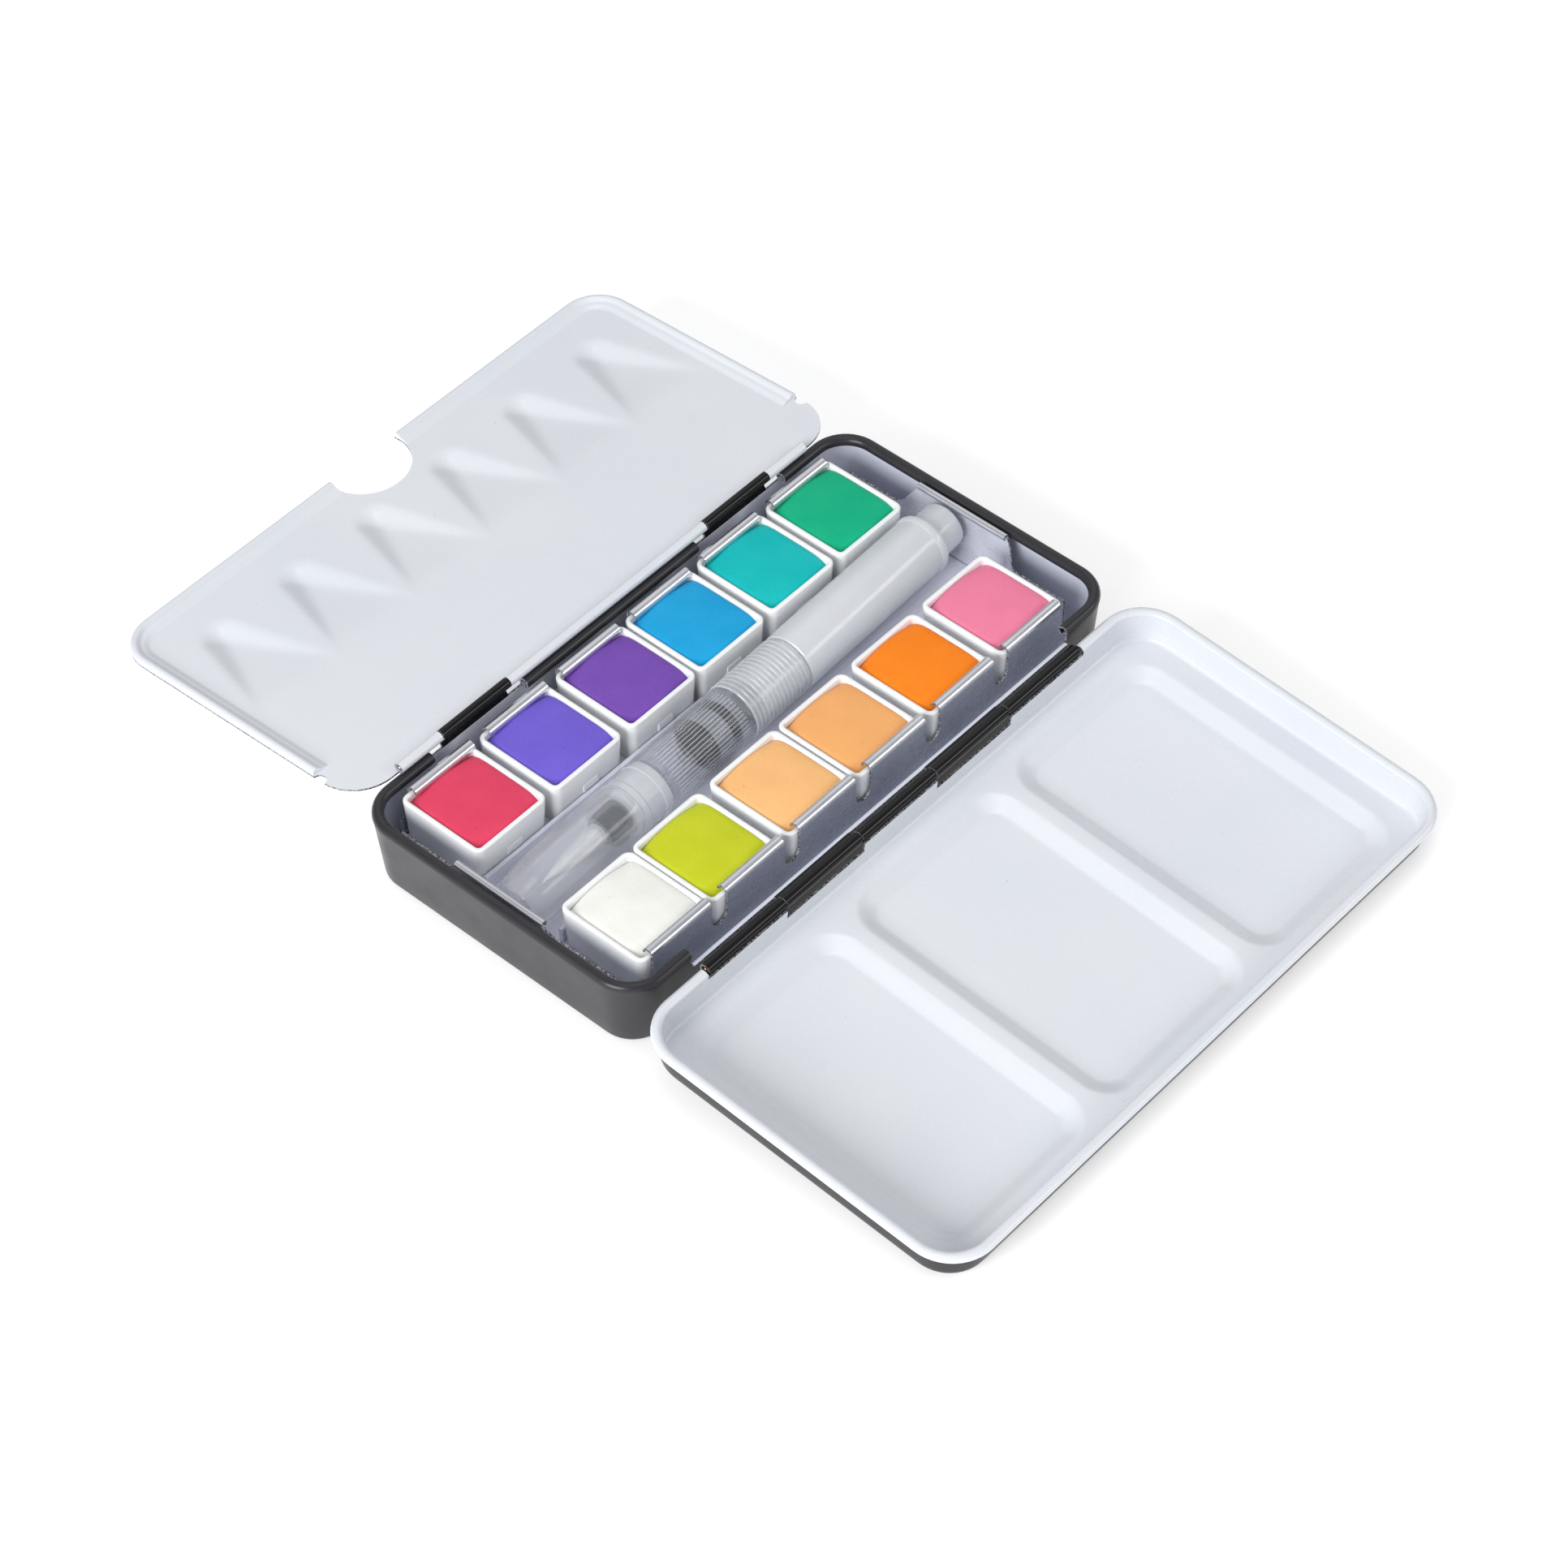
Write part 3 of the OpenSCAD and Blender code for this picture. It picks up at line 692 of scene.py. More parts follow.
def hinge_strip(shell):
    """The tray's wall edge bent outwards for the lid's hinge, with its two knuckles."""
    y_out = tray_lean(STRIP_Z) - TRAY_HALF[1]
    bend = 0.75
    inner_r = 0.45
    lead = bend - inner_r
    corner = (y_out - bend + lead, STRIP_Z - bend + lead)
    strip = ([(y_out, STRIP_Z - bend)] + arc(corner, inner_r, 0, 90, 4)
             + [(-STRIP_OUT, STRIP_Z), (-STRIP_OUT, STRIP_Z + STRIP_T)]
             + arc(corner, inner_r + STRIP_T, 90, 0, 6) + [(y_out + STRIP_T, STRIP_Z - bend)])
    half = HINGE_CUT - 0.3
    extrude(shell, strip, -half, half, [GLOSS] * 6 + [RAW] + [BACK] * 8 + [FACE], RAW)
    y_from, y_to = 0.1 - STRIP_OUT, LID_AXIS[0] + 1
    link = [(y_from, STRIP_Z), (y_to, STRIP_Z), (y_to, STRIP_Z + STRIP_T), (y_from, STRIP_Z + STRIP_T)]
    knuckle = curl(LID_AXIS, KNUCKLE_R, SHEET, -2, -338, 32)
    for s in SIDES:
        x0, x1 = s * KNUCKLE_PITCH - KNUCKLE_HALF, s * KNUCKLE_PITCH + KNUCKLE_HALF
        extrude(shell, link, x0, x1, GLOSS, RAW)
        extrude(shell, knuckle, x0, x1, GLOSS, RAW)


def lid_section(top):
    """The lid's sheet from its ledge's underside, up outside, over the edge at top and down to the ledge."""
    outer_r = 1.7
    inner_r = 0.8
    steps = 6
    levels = (LID_EDGE_KNUCKLE, LID_EDGE_PLAIN, 0.0)
    outside = [(LID_WALL + d, LID_LEDGE + z) for d, z in quarter(outer_r, steps)]
    inside = [(LID_WALL + SHEET + d, LID_LEDGE + SHEET + z) for d, z in quarter(inner_r, steps)]
    up = [(LID_WALL, min(z, top)) for z in levels]
    down = [(LID_WALL + SHEET, min(z, top)) for z in reversed(levels)]
    return outside + up + down + inside[::-1]


def lid_top(middle):
    """Height of the lid's edge: lower along the hinge, and lowest beside the tray's knuckles."""
    if middle.y < LID_BACK - 1 or abs(middle.x) > HINGE_CUT:
        return 0.0
    beside = abs(abs(middle.x) - KNUCKLE_PITCH) < KNUCKLE_HALF + LID_GAP
    return LID_EDGE_KNUCKLE if beside else LID_EDGE_PLAIN


def well_loops(shell, base, finish):
    """The three wells of one face of the lid. Returns their mouth loops."""
    steps = 12
    ease = 0.55
    profile = [(-ease + (WELL_RUN + 2 * ease) * k / steps, base - LID_WELL_DROP * smooth(k / steps))
               for k in range(steps + 1)]
    mouths = []
    for x0, x1 in WELL_SPANS:
        half = ((x1 - x0) / 2, WELL_HALF_Y)
        stations = [(c + Vector(((x0 + x1) / 2, 0)), d, r, k)
                    for c, d, r, k in outline(half, WELL_R, LID_MID_Y, steps=10)]
        mouth, floor = sweep_loop(shell, stations, profile, finish)
        shell.face(floor, finish)
        mouths.append(mouth)
    return mouths


def make_lid(looks):
    """The lid in its own frame: white inside and over the bead, black outside."""
    shell = Shell()
    edges = [s * KNUCKLE_PITCH + t * (KNUCKLE_HALF + LID_GAP) for s in SIDES for t in SIDES]
    stations = outline(LID_HALF, LID_R, LID_MID_Y, cuts_high=[*edges, -HINGE_CUT, HINGE_CUT])
    finishes = sheet_finishes(lid_section(0.0), BACK, FACE)
    under, ledge = wall(shell, stations, lid_section, lid_top, finishes)
    fill(shell, ledge, well_loops(shell, LID_LEDGE + SHEET, FACE), FACE)
    fill(shell, under, well_loops(shell, LID_LEDGE, BACK), BACK)
    # Rolled bead
    steps = 24
    rise = (BEAD_TOP - BEAD_BOTTOM) / 2
    reach = (LID_WALL + SHEET) / 2
    middle = (reach, BEAD_TOP - rise)
    bead = [(middle[0] - reach * math.cos(a), middle[1] + rise * math.sin(a))
            for a in (2 * math.pi * k / steps for k in range(steps))]
    for run in runs(stations, lambda m: lid_top(m) == 0.0):
        sweep_run(shell, run, bead, FACE, RAW)
    # Knuckles rolled over the wire
    knuckle = curl((0, 0), KNUCKLE_R, SHEET, 205, 532, 32)
    for x in (-2 * KNUCKLE_PITCH, 0, 2 * KNUCKLE_PITCH):
        extrude(shell, knuckle, x - KNUCKLE_HALF, x + KNUCKLE_HALF, GLOSS, RAW)
    return shell.piece("Lid", looks, LID_PLACE)


def fan_depth(u, v):
    """How deep the fan-shaped wells are at a point of the leaf."""
    middle = (FAN_COUNT - 1) / 2
    nearest = min(max(round(u / FAN_PITCH + middle), 0), FAN_COUNT - 1)
    across = abs(u - (nearest - middle) * FAN_PITCH)
    end_v, end_r = FAN_ROUND
    run = end_v - FAN_START
    lean = (FAN_START_HALF - end_r) / run
    beside = (end_r + (end_v - v) * lean - across) / math.hypot(1, lean)
    if v > end_v:
        beside = end_r - math.hypot(across, v - end_v)
    far = min((v - FAN_START) / (end_v + end_r - FAN_START), 1)
    floor = FAN_DEPTH * (far if far < 0 else 1 - (1 - far) ** 1.4)
    side = FAN_SIDE_SLOPE * (beside + FAN_GROW)
    bottom = (floor + side - math.hypot(floor - side, FAN_SOFT_FLOOR)) / 2
    return max(0.0, (bottom + math.hypot(bottom, FAN_SOFT_EDGE)) / 2 - FAN_LIFT)


def leaf_height(u, v):
    return LEAF_TOP - (fan_depth(u, v) if v > FAN_START - FAN_LEAD else 0.0)


def leaf_outline():
    """The leaf's cut outline in plan, anticlockwise from its hinge edge."""
    loop = [(-LEAF_HALF + LEAF_R_HINGE, 0.0), (LEAF_HALF - LEAF_R_HINGE, 0.0)]
    loop += arc((LEAF_HALF - LEAF_R_HINGE, LEAF_R_HINGE), LEAF_R_HINGE, -80, -10, 10)
    notch = arc((LEAF_HALF, NOTCH[0] + 1), NOTCH[1], 270, 90, 10)
    loop += notch
    loop += arc((LEAF_HALF - LEAF_R_FREE, LEAF_REACH - LEAF_R_FREE), LEAF_R_FREE, 0, 90, 14)
    turn = math.degrees(math.asin((LEAF_REACH - THUMB[0]) / THUMB[1]))
    loop += arc((0, THUMB[0]), THUMB[1], turn, -180 - turn, 32)
    loop += arc((-LEAF_HALF + LEAF_R_FREE, LEAF_REACH - LEAF_R_FREE), LEAF_R_FREE, 90, 180, 14)
    loop += [(-u, v) for u, v in reversed(notch)]
    loop += arc((-LEAF_HALF + LEAF_R_HINGE, LEAF_R_HINGE), LEAF_R_HINGE, 190, 260, 10)
    return loop


def make_leaf(looks):
    """The mixing leaf in its own frame: a pressed sheet, its raised border and its hinge rolls."""
    shell = Shell()
    coat, cut = 0, 1
    margin = 2
    relief = ((margin - LEAF_HALF, FAN_START - FAN_LEAD),
              (LEAF_HALF - margin, FAN_ROUND[0] + FAN_ROUND[1] + margin))
    pressed(shell, [leaf_outline()], leaf_height, LEAF_SHEET, 0.75, relief, (coat, coat, cut))
    border = [(inset, LEAF_TOP + rise) for inset, rise in LEAF_BORDER]
    past_hinge = 20
    half_y = (LEAF_REACH + past_hinge) / 2
    stations = outline((LEAF_HALF, half_y), LEAF_R_FREE, LEAF_REACH - half_y,
                       cuts_high=(-THUMB[1], THUMB[1]), steps=14)
    reach_x = LEAF_HALF - LEAF_R_FREE
    start = [(Vector((s * reach_x, LEAF_BORDER_FROM)), Vector((s, 0)), LEAF_R_FREE, None) for s in SIDES]
    upper = [s for s in stations if inset_point(s, 0).y > LEAF_REACH - LEAF_R_FREE - 0.01]
    right = [s for s in upper if s[0].x > 0]
    left = [s for s in upper if s[0].x < 0]
    sweep_run(shell, [start[1], *right], border, coat, coat)
    sweep_run(shell, [*left, start[0]], border, coat, coat)
    roll = curl((0, 0), ROLL_R, LEAF_SHEET, 272, -45, 28)
    for x0, x1 in LEAF_ROLLS:
        extrude(shell, roll, x0, x1, coat, cut)
    return shell.piece("Mixing_leaf", looks, LEAF_PLACE)


def make_insert(looks):
    """The clip insert: floor, slotted sides with hooked tabs, ends with finger tabs, and two ribs."""
    shell = Shell()
    bend = 0.9
    plan = outline(INSERT_HALF, 3.0)
    floor = [(bend, INSERT_FLOOR - SHEET), (0.3, INSERT_FLOOR - SHEET - 0.12), (0.0, INSERT_FLOOR - bend),
             (SHEET, INSERT_FLOOR - bend), (SHEET + 0.15, INSERT_FLOOR - 0.15), (bend, INSERT_FLOOR)]
    under, over = sweep_loop(shell, plan, floor, FLOOR)
    shell.face(under, SKIRT)
    shell.face(over, FLOOR)
    row_half = (PANS * TAB_PITCH - (TAB_PITCH - TAB_W)) / 2
    skirt_half = 53.0
    slot_r = (TAB_PITCH - TAB_W) / 2
    slot_top = SLOT_Z + slot_r
    outer = INSERT_HALF[1]
    hook = curl((outer - HOOK_R, HOOK_Z), HOOK_R, HOOK_T, 0, 188, 16)
    tab = [(outer, slot_top), *hook, (outer - SHEET, slot_top)]
    for s in SIDES:
        # Skirt with the round ends of the slots
        edge = [(-skirt_half, INSERT_FOOT), (skirt_half, INSERT_FOOT), (skirt_half, SLOT_Z),
                (row_half, SLOT_Z), (row_half, slot_top)]
        for i in range(PANS - 1, 0, -1):
            edge += arc(((i - PANS / 2) * TAB_PITCH, slot_top), slot_r, 0, -180, 12)
        edge += [(-row_half, slot_top), (-row_half, SLOT_Z), (-skirt_half, SLOT_Z)]
        front = shell.add([(x, s * outer, z) for x, z in edge])
        back = shell.add([(x, s * (outer - SHEET), z) for x, z in edge])
        shell.join(front, back, CUT)
        shell.face(front, SKIRT)
        shell.face(back, SKIRT)
        # Tabs with their hooks
        for i in range(PANS):
            x = (i - (PANS - 1) / 2) * TAB_PITCH
            extrude(shell, tab, x - TAB_W / 2, x + TAB_W / 2, SKIRT, CUT, mirror=s)
    for s in SIDES:
        insert_end(shell, s)
        rib = [(RIB_Y - RIB_W / 2, INSERT_FLOOR - 0.2), (RIB_Y - RIB_W / 2, RIB_TOP - 0.2),
               (RIB_Y - RIB_W / 4, RIB_TOP), (RIB_Y + RIB_W / 4, RIB_TOP),
               (RIB_Y + RIB_W / 2, RIB_TOP - 0.2), (RIB_Y + RIB_W / 2, INSERT_FLOOR - 0.2)]
        extrude(shell, rib, -RIB_HALF, RIB_HALF, FLOOR, FLOOR, mirror=s)
    return shell.piece("Pan_insert", looks, Matrix.Translation((0, INSERT_Y * MM, 0)))


def insert_end(shell, side):
    """One end of the insert: a finger tab with a rolled top that sweeps down into the skirts beside it."""
    tab_z = TRAY_H - 0.7
    steps_y = 44
    steps_z = 16
    skirt_y = 24.0
    flare_from, flare_rise = 5.0, 6.0
    flare_y = END_SHOULDER + 0.2
    lean = END_TAB_X - END_SKIRT_X - 0.08
    rows = []
    for j in range(steps_y + 1):
        y = -skirt_y + 2 * skirt_y * j / steps_y
        spread = smooth((flare_y - abs(y)) / (flare_y - END_TAB_HALF))
        shoulder = smooth((END_SHOULDER - abs(y)) / (END_SHOULDER - END_TAB_HALF + 0.6))
        top = END_SKIRT_Z + (tab_z - END_SKIRT_Z) * shoulder
        row = []
        for k in range(steps_z + 1):
            z = INSERT_FOOT + (top - INSERT_FOOT) * k / steps_z
            flare = spread * smooth((z - flare_from) / flare_rise)
            row.append((END_SKIRT_X - SHEET / 2 + lean * flare, y, z))
        rows.append(row)
    front = [shell.add([(side * (x + SHEET / 2), y, z) for x, y, z in row]) for row in rows]
    back = [shell.add([(side * (x - SHEET / 2), y, z) for x, y, z in row]) for row in rows]
    for grid in (front, back):
        for near, far in zip(grid, grid[1:]):
            shell.join(near, far, END, closed=False)
    for k in (0, -1):
        shell.join(front[k], back[k], CUT, closed=False)
        shell.join([row[k] for row in front], [row[k] for row in back], CUT, closed=False)
    roll = curl((END_TAB_X - END_ROLL_R, tab_z), END_ROLL_R, 0.3, -20, 250, 18)
    extrude(shell, roll, -END_TAB_HALF, END_TAB_HALF, ROLL, CUT, axis="y", mirror=side)


def make_wire(name, look, axis, radius, half):
    """A hinge wire with broken edges, lying along its axis."""
    shell = Shell()
    bevel = 0.12
    turned(shell, [(-half, 0), (-half, radius - bevel), (bevel - half, radius), (half - bevel, radius),
                   (half, radius - bevel), (half, 0)], 24)
    return shell.piece(name, [look], Matrix.Translation((0, axis[0] * MM, axis[1] * MM)))


# ---------- pans and paints ----------

def make_pan(name, look, low, high):
    """A half pan standing in the box of its CAD node."""
    shell = Shell()
    stations = outline(PAN_HALF, PAN_R, steps=7)
    lip_z = PAN_H - PAN_LIP
    bows = [k * math.pi / 8 for k in range(5)]

    def out(z):
        return PAN_DRAFT * (1 - z / PAN_H)
    section = [(out(0) + 0.5, 0.0), (out(0.2) + 0.15, 0.15), (out(0.5), 0.5), (out(5), 5.0)]
    section += [(PAN_LIP - PAN_LIP * math.sin(a), lip_z + PAN_LIP * math.cos(a)) for a in reversed(bows)]
    section += [(PAN_WALL - PAN_LIP + PAN_LIP * math.sin(a), lip_z + PAN_LIP * math.cos(a)) for a in bows]
    section += [(PAN_WALL + 0.05, PAN_FLOOR + 0.6), (PAN_WALL + 0.5, PAN_FLOOR)]
    under, floor = sweep_loop(shell, stations, section, FACE)
    shell.face(under)
    shell.face(floor)
    # Small moulded stop low on each end
    face = PAN_HALF[1] - out(4.0)
    stop = [(face - 0.3, 3.1), (face + 0.12, 3.2), (face + 0.26, 3.45), (face + 0.26, 4.6),
            (face + 0.12, 4.9), (face - 0.3, 5.0)]
    for s in SIDES:
        extrude(shell, stop, -PAN_STOP_HALF, PAN_STOP_HALF, FACE, FACE, mirror=s)
    middle = (low + high) / 2
    return shell.piece(name, [look], Matrix.Translation((middle.x, middle.y, low.z)), sharp=50)


def make_cake(name, look, low, high, seed):
    """A cast block of paint in the box of its CAD node: faintly domed, with a soft edge and sunk corners."""
    shell = Shell()
    overlap = 0.1
    half = ((high.x - low.x) / 2 / MM + overlap, (high.y - low.y) / 2 / MM + overlap)
    top = (high.z - low.z) / MM
    stations = outline(half, 0.9, steps=5)
    spacing = 1.3
    edge = [inset_point(station, 0) for station in stations]
    splits = [max(1, round((b - a).length / spacing)) for a, b in zip(edge, edge[1:] + edge[:1])]
    dome = 0.35
    corner_drop = 1.45
    fill_above = 0.82
    ripple_size, ripple_height = 4.2, 0.05
    # Rings from the foot up the side, over the rounded edge and on towards the middle
    insets = [0.0, 0.0, 0.08, 0.25, 0.5, 0.9, 1.5, 2.3, 3.2, 4.2, 5.2, 6.2, half[0] - 0.3]
    drops = [top, 0.45, 0.25, 0.12, 0.04]
    drops += [0.0] * (len(insets) - len(drops))
    rings = []
    for k, (inset, drop) in enumerate(zip(insets, drops)):
        turns = [inset_point(station, inset) for station in stations]
        spots = [a.lerp(b, i / n) for a, b, n in zip(turns, turns[1:] + turns[:1], splits) for i in range(n)]
        points = []
        for spot in spots:
            ripple = noise.noise(Vector((spot.x / ripple_size, spot.y / ripple_size, seed * 3.1)))
            across, along = (spot.x / half[0]) ** 2, (spot.y / half[1]) ** 2
            crown = dome * (1 - across) * (1 - along) - corner_drop * across * along ** 3
            lift = fill_above + crown + ripple_height * ripple if k else 0.0
            points.append((spot.x, spot.y, max(0.0, top - drop + lift)))
        rings.append(shell.add(points))
    for lower, upper in zip(rings, rings[1:]):
        shell.join(lower, upper, FACE)
    shell.face(rings[0])
    shell.face(rings[-1])
    middle = (low + high) / 2
    return shell.piece(name, [look], Matrix.Translation((middle.x, middle.y, low.z)), sharp=60)


# ---------- water brush ----------

BRUSH_PARTS = {
    "brush_cap": [(-55.6, 0), (-55.6, 3.1), (-55.35, 3.9), (-54.7, 4.45), (-53.4, 4.8), (-51.1, 5.1),
                  (-46.6, 5.3), (-30.2, 5.3), (-29.9, 5.28), (-28.9, 5.3), (-28.7, 5.22), (-28.7, 4.8),
                  (-46.6, 4.78), (-51.1, 4.55), (-53.2, 4.2), (-54.2, 3.7), (-54.6, 3.0), (-54.6, 0)],
    "brush_ferrule": [(-35, 0), (-35, 2.0), (-34.9, 2.45), (-34.2, 2.7), (-33.4, 2.85), (-31.5, 2.85),
                      (-31.3, 2.6), (-30.9, 2.6), (-30.7, 2.85), (-29.7, 2.85), (-29.7, 0)],
    "brush_collar": [(-29.7, 0), (-29.7, 4.5), (-29.5, 4.7), (-28.75, 4.7), (-28.68, 4.95), (-28.2, 5.1),
                     (-27.4, 5.1), (-27.2, 4.97), (-23.9, 5.05), (-23.7, 5.2), (-22.3, 5.2), (-22.1, 5.1),
                     (-22.1, 1.0), (-26.7, 1.0), (-26.7, 0)],
    "brush_seal": [(-11, 0), (-11, 4.0), (-10.8, 4.4), (-9.5, 4.4), (-9.3, 3.9), (-5.5, 3.9), (-5.3, 4.4),
                   (-3.9, 4.4), (-3.7, 4.0), (-3.7, 0)],
    "brush_reservoir": [(3, 3.62), (3, 4.3), (3.2, 4.42), (13.35, 4.42), (13.35, 5.1), (13.6, 5.4),
                        (14.3, 5.5), (47.2, 5.5), (47.6, 5.42), (48.3, 5.42), (48.6, 5.58), (49.5, 5.6),
                        (49.8, 5.5), (49.8, 0), (48.6, 0), (48.6, 4.7), (15.35, 4.7), (15.35, 3.62)],
    "brush_end_plug": [(49.8, 0), (49.8, 4.35), (54.9, 4.35), (55.5, 4.15), (55.8, 3.6), (55.8, 0)],
}
# The seal's side between its two lips has the second look
SEAL_FINISHES = [MAIN] * 4 + [SECOND] + [MAIN] * 4


def body_profile():
    """The clear body and its finishes: a shank with a groove, then thread rings up to the reservoir."""
    root, crest, groove = BODY_R - 0.1, BODY_R + 0.15, BODY_R - 0.13
    outside = [(-22.1, 1.0), (-22.1, 5.1), (-21.8, 5.3), (-21.1, BODY_R), (-20.4, BODY_R), (-13.2, BODY_R),
               (-13.0, groove), (-12.4, groove), (-12.2, BODY_R), (-2.6, BODY_R)]
    finishes = [MAIN] * len(outside)
    for i in range(THREAD_RINGS):
        x = THREAD_FROM + i * THREAD_PITCH
        outside += [(x - 0.1, root), (x + 0.08, crest), (x + 0.42, crest), (x + 0.6, root)]
        finishes += [SECOND] * 4
    inside = [(12.95, BODY_R), (13.2, 5.2), (13.2, BODY_BORE), (-21.1, BODY_BORE), (-21.1, 1.0)]
    return outside + inside, finishes + [MAIN] * len(inside)


def brush_place():
    turn = Euler((0, 0, math.radians(BRUSH_YAW))).to_matrix().to_4x4()
    return Matrix.Translation((0, BRUSH_Y * MM, BRUSH_Z * MM)) @ turn


def make_turned(name, profile, looks, finishes=MAIN):
    """A turned piece, in its place along the brush."""
    shell = Shell()
    turned(shell, profile, TURN_STEPS, finishes)
    return shell.piece(name, looks, brush_place(), sharp=28)


def make_body(name, looks):
    """The clear body, whose shank carries fine ridges of the second look with sunk clear strips between; the
    milky ridges are painted highlight lines.
    """
    shell = Shell()
    profile, finishes = body_profile()
    turned(shell, profile, BODY_STEPS, finishes)

    def fluted(i):
        point = shell.points[i]
        return FLUTES[0] <= point.x <= FLUTES[1] and math.hypot(point.y, point.z) > FLUTES_FROM_R

    def ridge(i):
        return i // len(profile) % FLUTE_STEPS < FLUTE_STEPS / 2
    # Ridge faces take the milky look: painted highlight lines along the shank.
    for n, corners in enumerate(shell.faces):
        if all(fluted(i) and ridge(i) for i in corners):
            shell.finishes[n] = SECOND
    for i, point in enumerate(shell.points):
        if fluted(i) and not ridge(i):
            point.yz = point.yz * (1 - FLUTE_DEPTH)
    return shell.piece(name, looks, brush_place(), sharp=28)


def make_bristles(name, look):
    """A pointed tuft: filaments gathered into a ridged cone."""
    shell = Shell()
    steps = 60
    ridge = 0.07
    profile = [(-49, 0.02), (-48, 0.3), (-46.5, 0.62), (-44.5, 0.98), (-42.5, 1.3), (-40.5, 1.52),
               (-38, 1.72), (-35, 1.9)]
    rings = []
    for x, r in profile:
        spots = []
        for k in range(steps):
            angle = 2 * math.pi * k / steps
            y, z = math.cos(angle), math.sin(angle)
            spread = r * (1 + ridge * noise.noise(Vector((y * 5, z * 5, x / 12))))
            spots.append((x, spread * y, spread * z))
        rings.append(shell.add(spots))
    for near, far in zip(rings, rings[1:]):
        shell.join(near, far, FACE)
    shell.face(rings[0])
    shell.face(rings[-1])
    return shell.piece(name, [look], brush_place(), sharp=40)


# ---------- stage ----------

def soft_light(name, place, size, watts):
    data = bpy.data.lights.new(name, "AREA")
    data.shape = "RECTANGLE"
    data.size, data.size_y = size
    data.energy = watts
    light = bpy.data.objects.new(name, data)
    light.location = place
    light.rotation_euler = (Vector((0, 0, 0)) - Vector(place)).to_track_quat("-Z", "Y").to_euler()
    bpy.context.scene.collection.objects.link(light)


def make_stage():
    scene = bpy.context.scene
    scene.view_settings.view_transform = "Standard"
    shell = Shell()
    reach = FLOOR_REACH / MM
    corners = shell.add([(-reach, -reach, 0), (reach, -reach, 0), (reach, reach, 0), (-reach, reach, 0)])
    shell.face(corners)
    floor = shell.piece("Floor", [plain_floor("floor")])
    world = bpy.data.worlds.new("Studio")
    world.use_nodes = True
    background = world.node_tree.nodes["Background"]
    background.inputs["Color"].default_value = SKY
    background.inputs["Strength"].default_value = SKY_STRENGTH
    scene.world = world
    for name, place, size, watts in LIGHTS:
        soft_light(name, place, size, watts)


def make_camera():
    data = bpy.data.cameras.new("Camera")
    data.lens = CAMERA_LENS
    data.sensor_width = 36
    data.clip_start = 0.01
    camera = bpy.data.objects.new("Camera", data)
    place = Vector(CAMERA_AT) * MM
    aim = (Vector(CAMERA_TARGET) * MM - place).to_track_quat("-Z", "Y").to_matrix().to_4x4()
    camera.matrix_world = Matrix.Translation(place) @ aim @ Matrix.Rotation(math.radians(CAMERA_ROLL), 4, "Z")
    bpy.context.scene.collection.objects.link(camera)
    bpy.context.scene.camera = camera


# ---------- the whole object ----------

LID_PLACE = (Matrix.Translation((0, LID_AXIS[0] * MM, LID_AXIS[1] * MM))
             @ Matrix.Rotation(math.radians(LID_DROOP), 4, "X"))
LEAF_PLACE = (Matrix.Translation((0, LEAF_AXIS[0] * MM, LEAF_AXIS[1] * MM))
              @ Matrix.Rotation(math.radians(LEAF_DROOP), 4, "X"))

PAINTS = {
    "left": (("paint_crimson", (222, 66, 98)), ("paint_blue_violet", (112, 92, 205)),
             ("paint_purple", (116, 74, 172)), ("paint_sky_blue", (20, 160, 216)),
             ("paint_turquoise", (0, 184, 184)), ("paint_emerald", (0, 174, 128))),
    "right": (("paint_white", (238, 238, 232)), ("paint_lime", (196, 204, 34)),
              ("paint_peach", (245, 188, 124)), ("paint_apricot", (240, 172, 106)),
              ("paint_orange", (250, 132, 16)), ("paint_pink", (236, 128, 160))),
}


def put(piece, body, slot, *nodes):
    """A finished piece rides on its body and stands for its CAD nodes, which are hidden. The slot is not
    used.
    """
    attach(piece, body)
    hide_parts(*nodes)


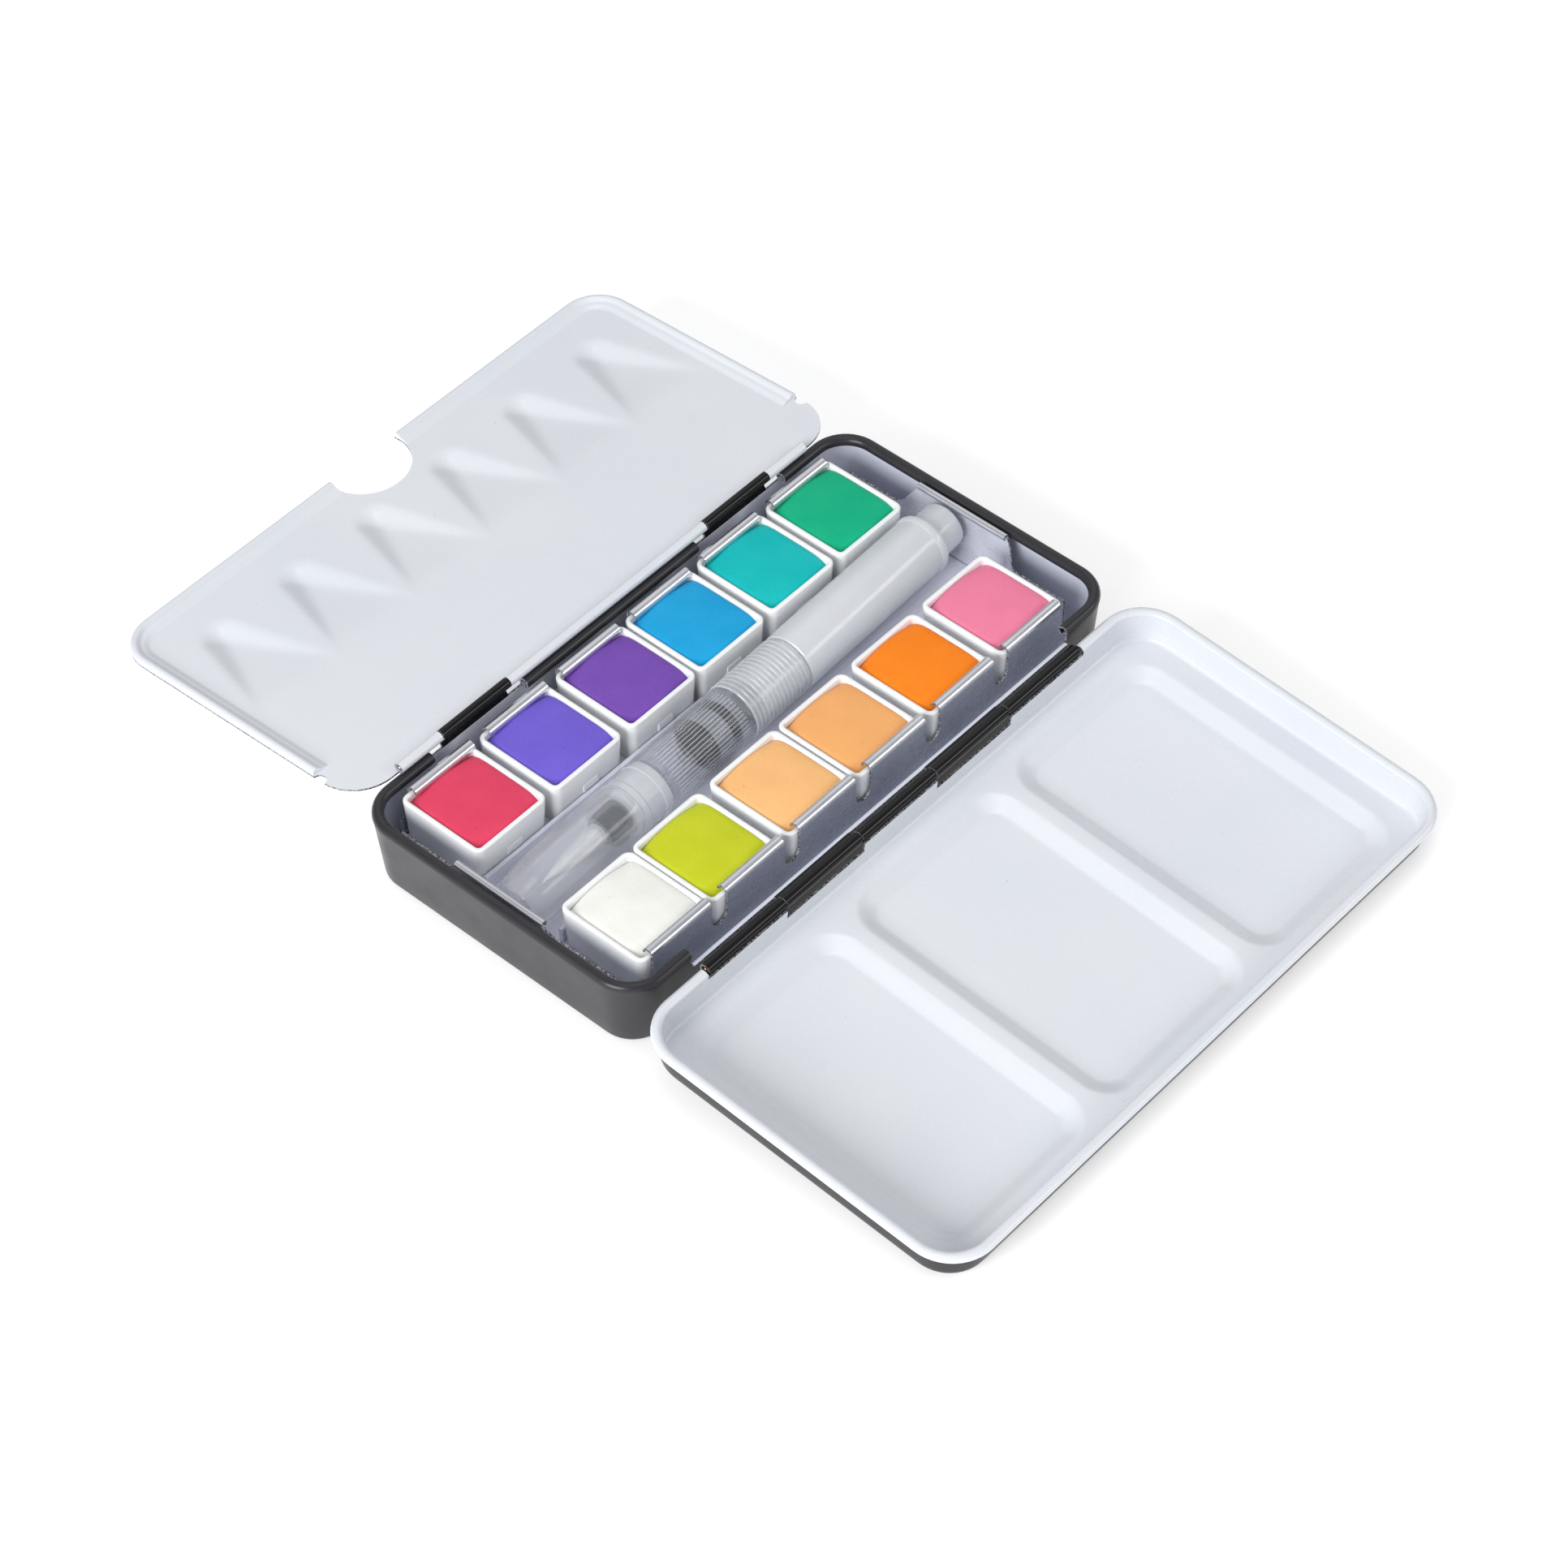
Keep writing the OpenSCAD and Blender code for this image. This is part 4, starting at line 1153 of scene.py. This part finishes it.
def main():
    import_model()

    black = enamel("black_enamel", linear(38, 38, 42), linear(44, 44, 48), 0.34, 0.1,
                   linear(90, 88, 88), 0.35)
    lining = enamel("tray_lining", linear(212, 216, 232), linear(218, 221, 234), 0.36, 0.3,
                    linear(150, 150, 155))
    white = enamel("white_enamel", linear(222, 225, 230), linear(217, 221, 228), 0.27, 0.3,
                   linear(130, 130, 130))
    gloss = enamel("black_gloss", linear(10, 10, 12), linear(16, 16, 18), 0.12, 0.0,
                   linear(60, 60, 60), 0.3)
    raw = raw_edge("raw_edge", linear(200, 200, 205), linear(70, 70, 74))
    bright, dull = linear(222, 223, 228), linear(204, 206, 213)
    along, across = (40, 1, 1), (1, 40, 1)
    tinplate = sheet_metal("tinplate", bright, dull, 0.95, along)
    ends = sheet_metal("tinplate_ends", linear(226, 228, 238), linear(216, 218, 230), 0.4, across)
    rolls = sheet_metal("tinplate_rolls", bright, dull, 0.95, across)
    # The insert's floor is a lighter, near-matte copy of the tinplate: painted light standing in for the
    # bright reflections its real metal shows.
    floor = sheet_metal("tinplate_floor_painted_light", linear(234, 235, 246), linear(224, 225, 240), 0.05, along)

    put(make_tray([black, lining, raw, gloss]), "tray", "black_enamel", "base_tray")
    put(make_lid([white, black, raw, gloss]), "lid", "white_enamel", "lid")
    put(make_leaf([white, raw]), "leaf", "white_enamel", "mixing_leaf")
    put(make_insert([tinplate, raw, ends, floor, rolls]), "tray", "tinplate", "pan_insert")
    copper = wire("copper_wire", linear(198, 140, 104), linear(150, 100, 74))
    steel = wire("steel_wire", linear(205, 205, 208), linear(160, 160, 164))
    lid_wire = make_wire("Lid_hinge_wire", copper, LID_AXIS, LID_WIRE_R, LID_WIRE_HALF)
    put(lid_wire, "tray", "copper_wire", "lid_hinge_wire")
    leaf_wire = make_wire("Leaf_hinge_wire", steel, LEAF_AXIS, LEAF_WIRE_R, LEAF_WIRE_HALF)
    put(leaf_wire, "tray", "steel_wire", "leaf_hinge_wire")

    plastic = moulded("pan_plastic", linear(246, 246, 247), linear(240, 241, 244), 0.16, 0.15)
    for side, paints in PAINTS.items():
        for i, (slot, colour) in enumerate(paints, 1):
            pan_node, paint_node = f"pan_{side}_{i}", f"paint_{side}_{i}"
            pan = make_pan(f"Pan_{side}_{i}", plastic, *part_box(pan_node))
            put(pan, "tray", "pan_plastic", pan_node)
            paint = make_cake(f"Paint_{side}_{i}", cake(slot, linear(*colour)), *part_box(paint_node), i)
            put(paint, "tray", slot, paint_node)

    clear_look = clear("clear_plastic", linear(252, 253, 255), 0.04, 1.3, 0.86, 0.48)
    body_look = clear("clear_body_plastic", linear(240, 243, 248), 0.02, 1.18, 0.92, 0.5)
    # Milky plastic for the collar and the thread rings, also laid on the shank's ridges as painted highlight
    # lines.
    milky_and_painted_highlight = clear("milky_plastic_and_painted_highlight", linear(250, 252, 255), 0.08, 1.3, 0.45, 0.66)
    frosted = clear("frosted_plastic", linear(248, 251, 255), 0.3, 1.35, 0.36, 0.94)
    looks = {
        "brush_cap": ("clear_plastic", clear_look, "tray"),
        "brush_ferrule": ("ferrule_plastic", rubber("ferrule_plastic", linear(44, 52, 66)), "tray"),
        "brush_collar": ("clear_plastic", milky_and_painted_highlight, "tray"),
        "brush_reservoir": ("frosted_plastic", frosted, "reservoir"),
        "brush_end_plug": ("frosted_plastic", frosted, "reservoir"),
    }
    for node, (slot, look, body) in looks.items():
        put(make_turned(node.capitalize(), BRUSH_PARTS[node], [look]), body, slot, node)
    seal_looks = [rubber("seal_rubber", linear(26, 28, 34)), rubber("seal_core", linear(128, 132, 140))]
    seal = make_turned("Brush_seal", BRUSH_PARTS["brush_seal"], seal_looks, SEAL_FINISHES)
    put(seal, "tray", "seal_rubber", "brush_seal")
    put(make_body("Brush_body", [body_look, milky_and_painted_highlight]), "tray", "clear_plastic", "brush_body")
    bristles = fibre("bristle_fibre", linear(236, 238, 240), linear(196, 200, 206))
    put(make_bristles("Brush_bristles", bristles), "tray", "bristle_fibre", "brush_bristles")

    make_stage()
    make_camera()


main()
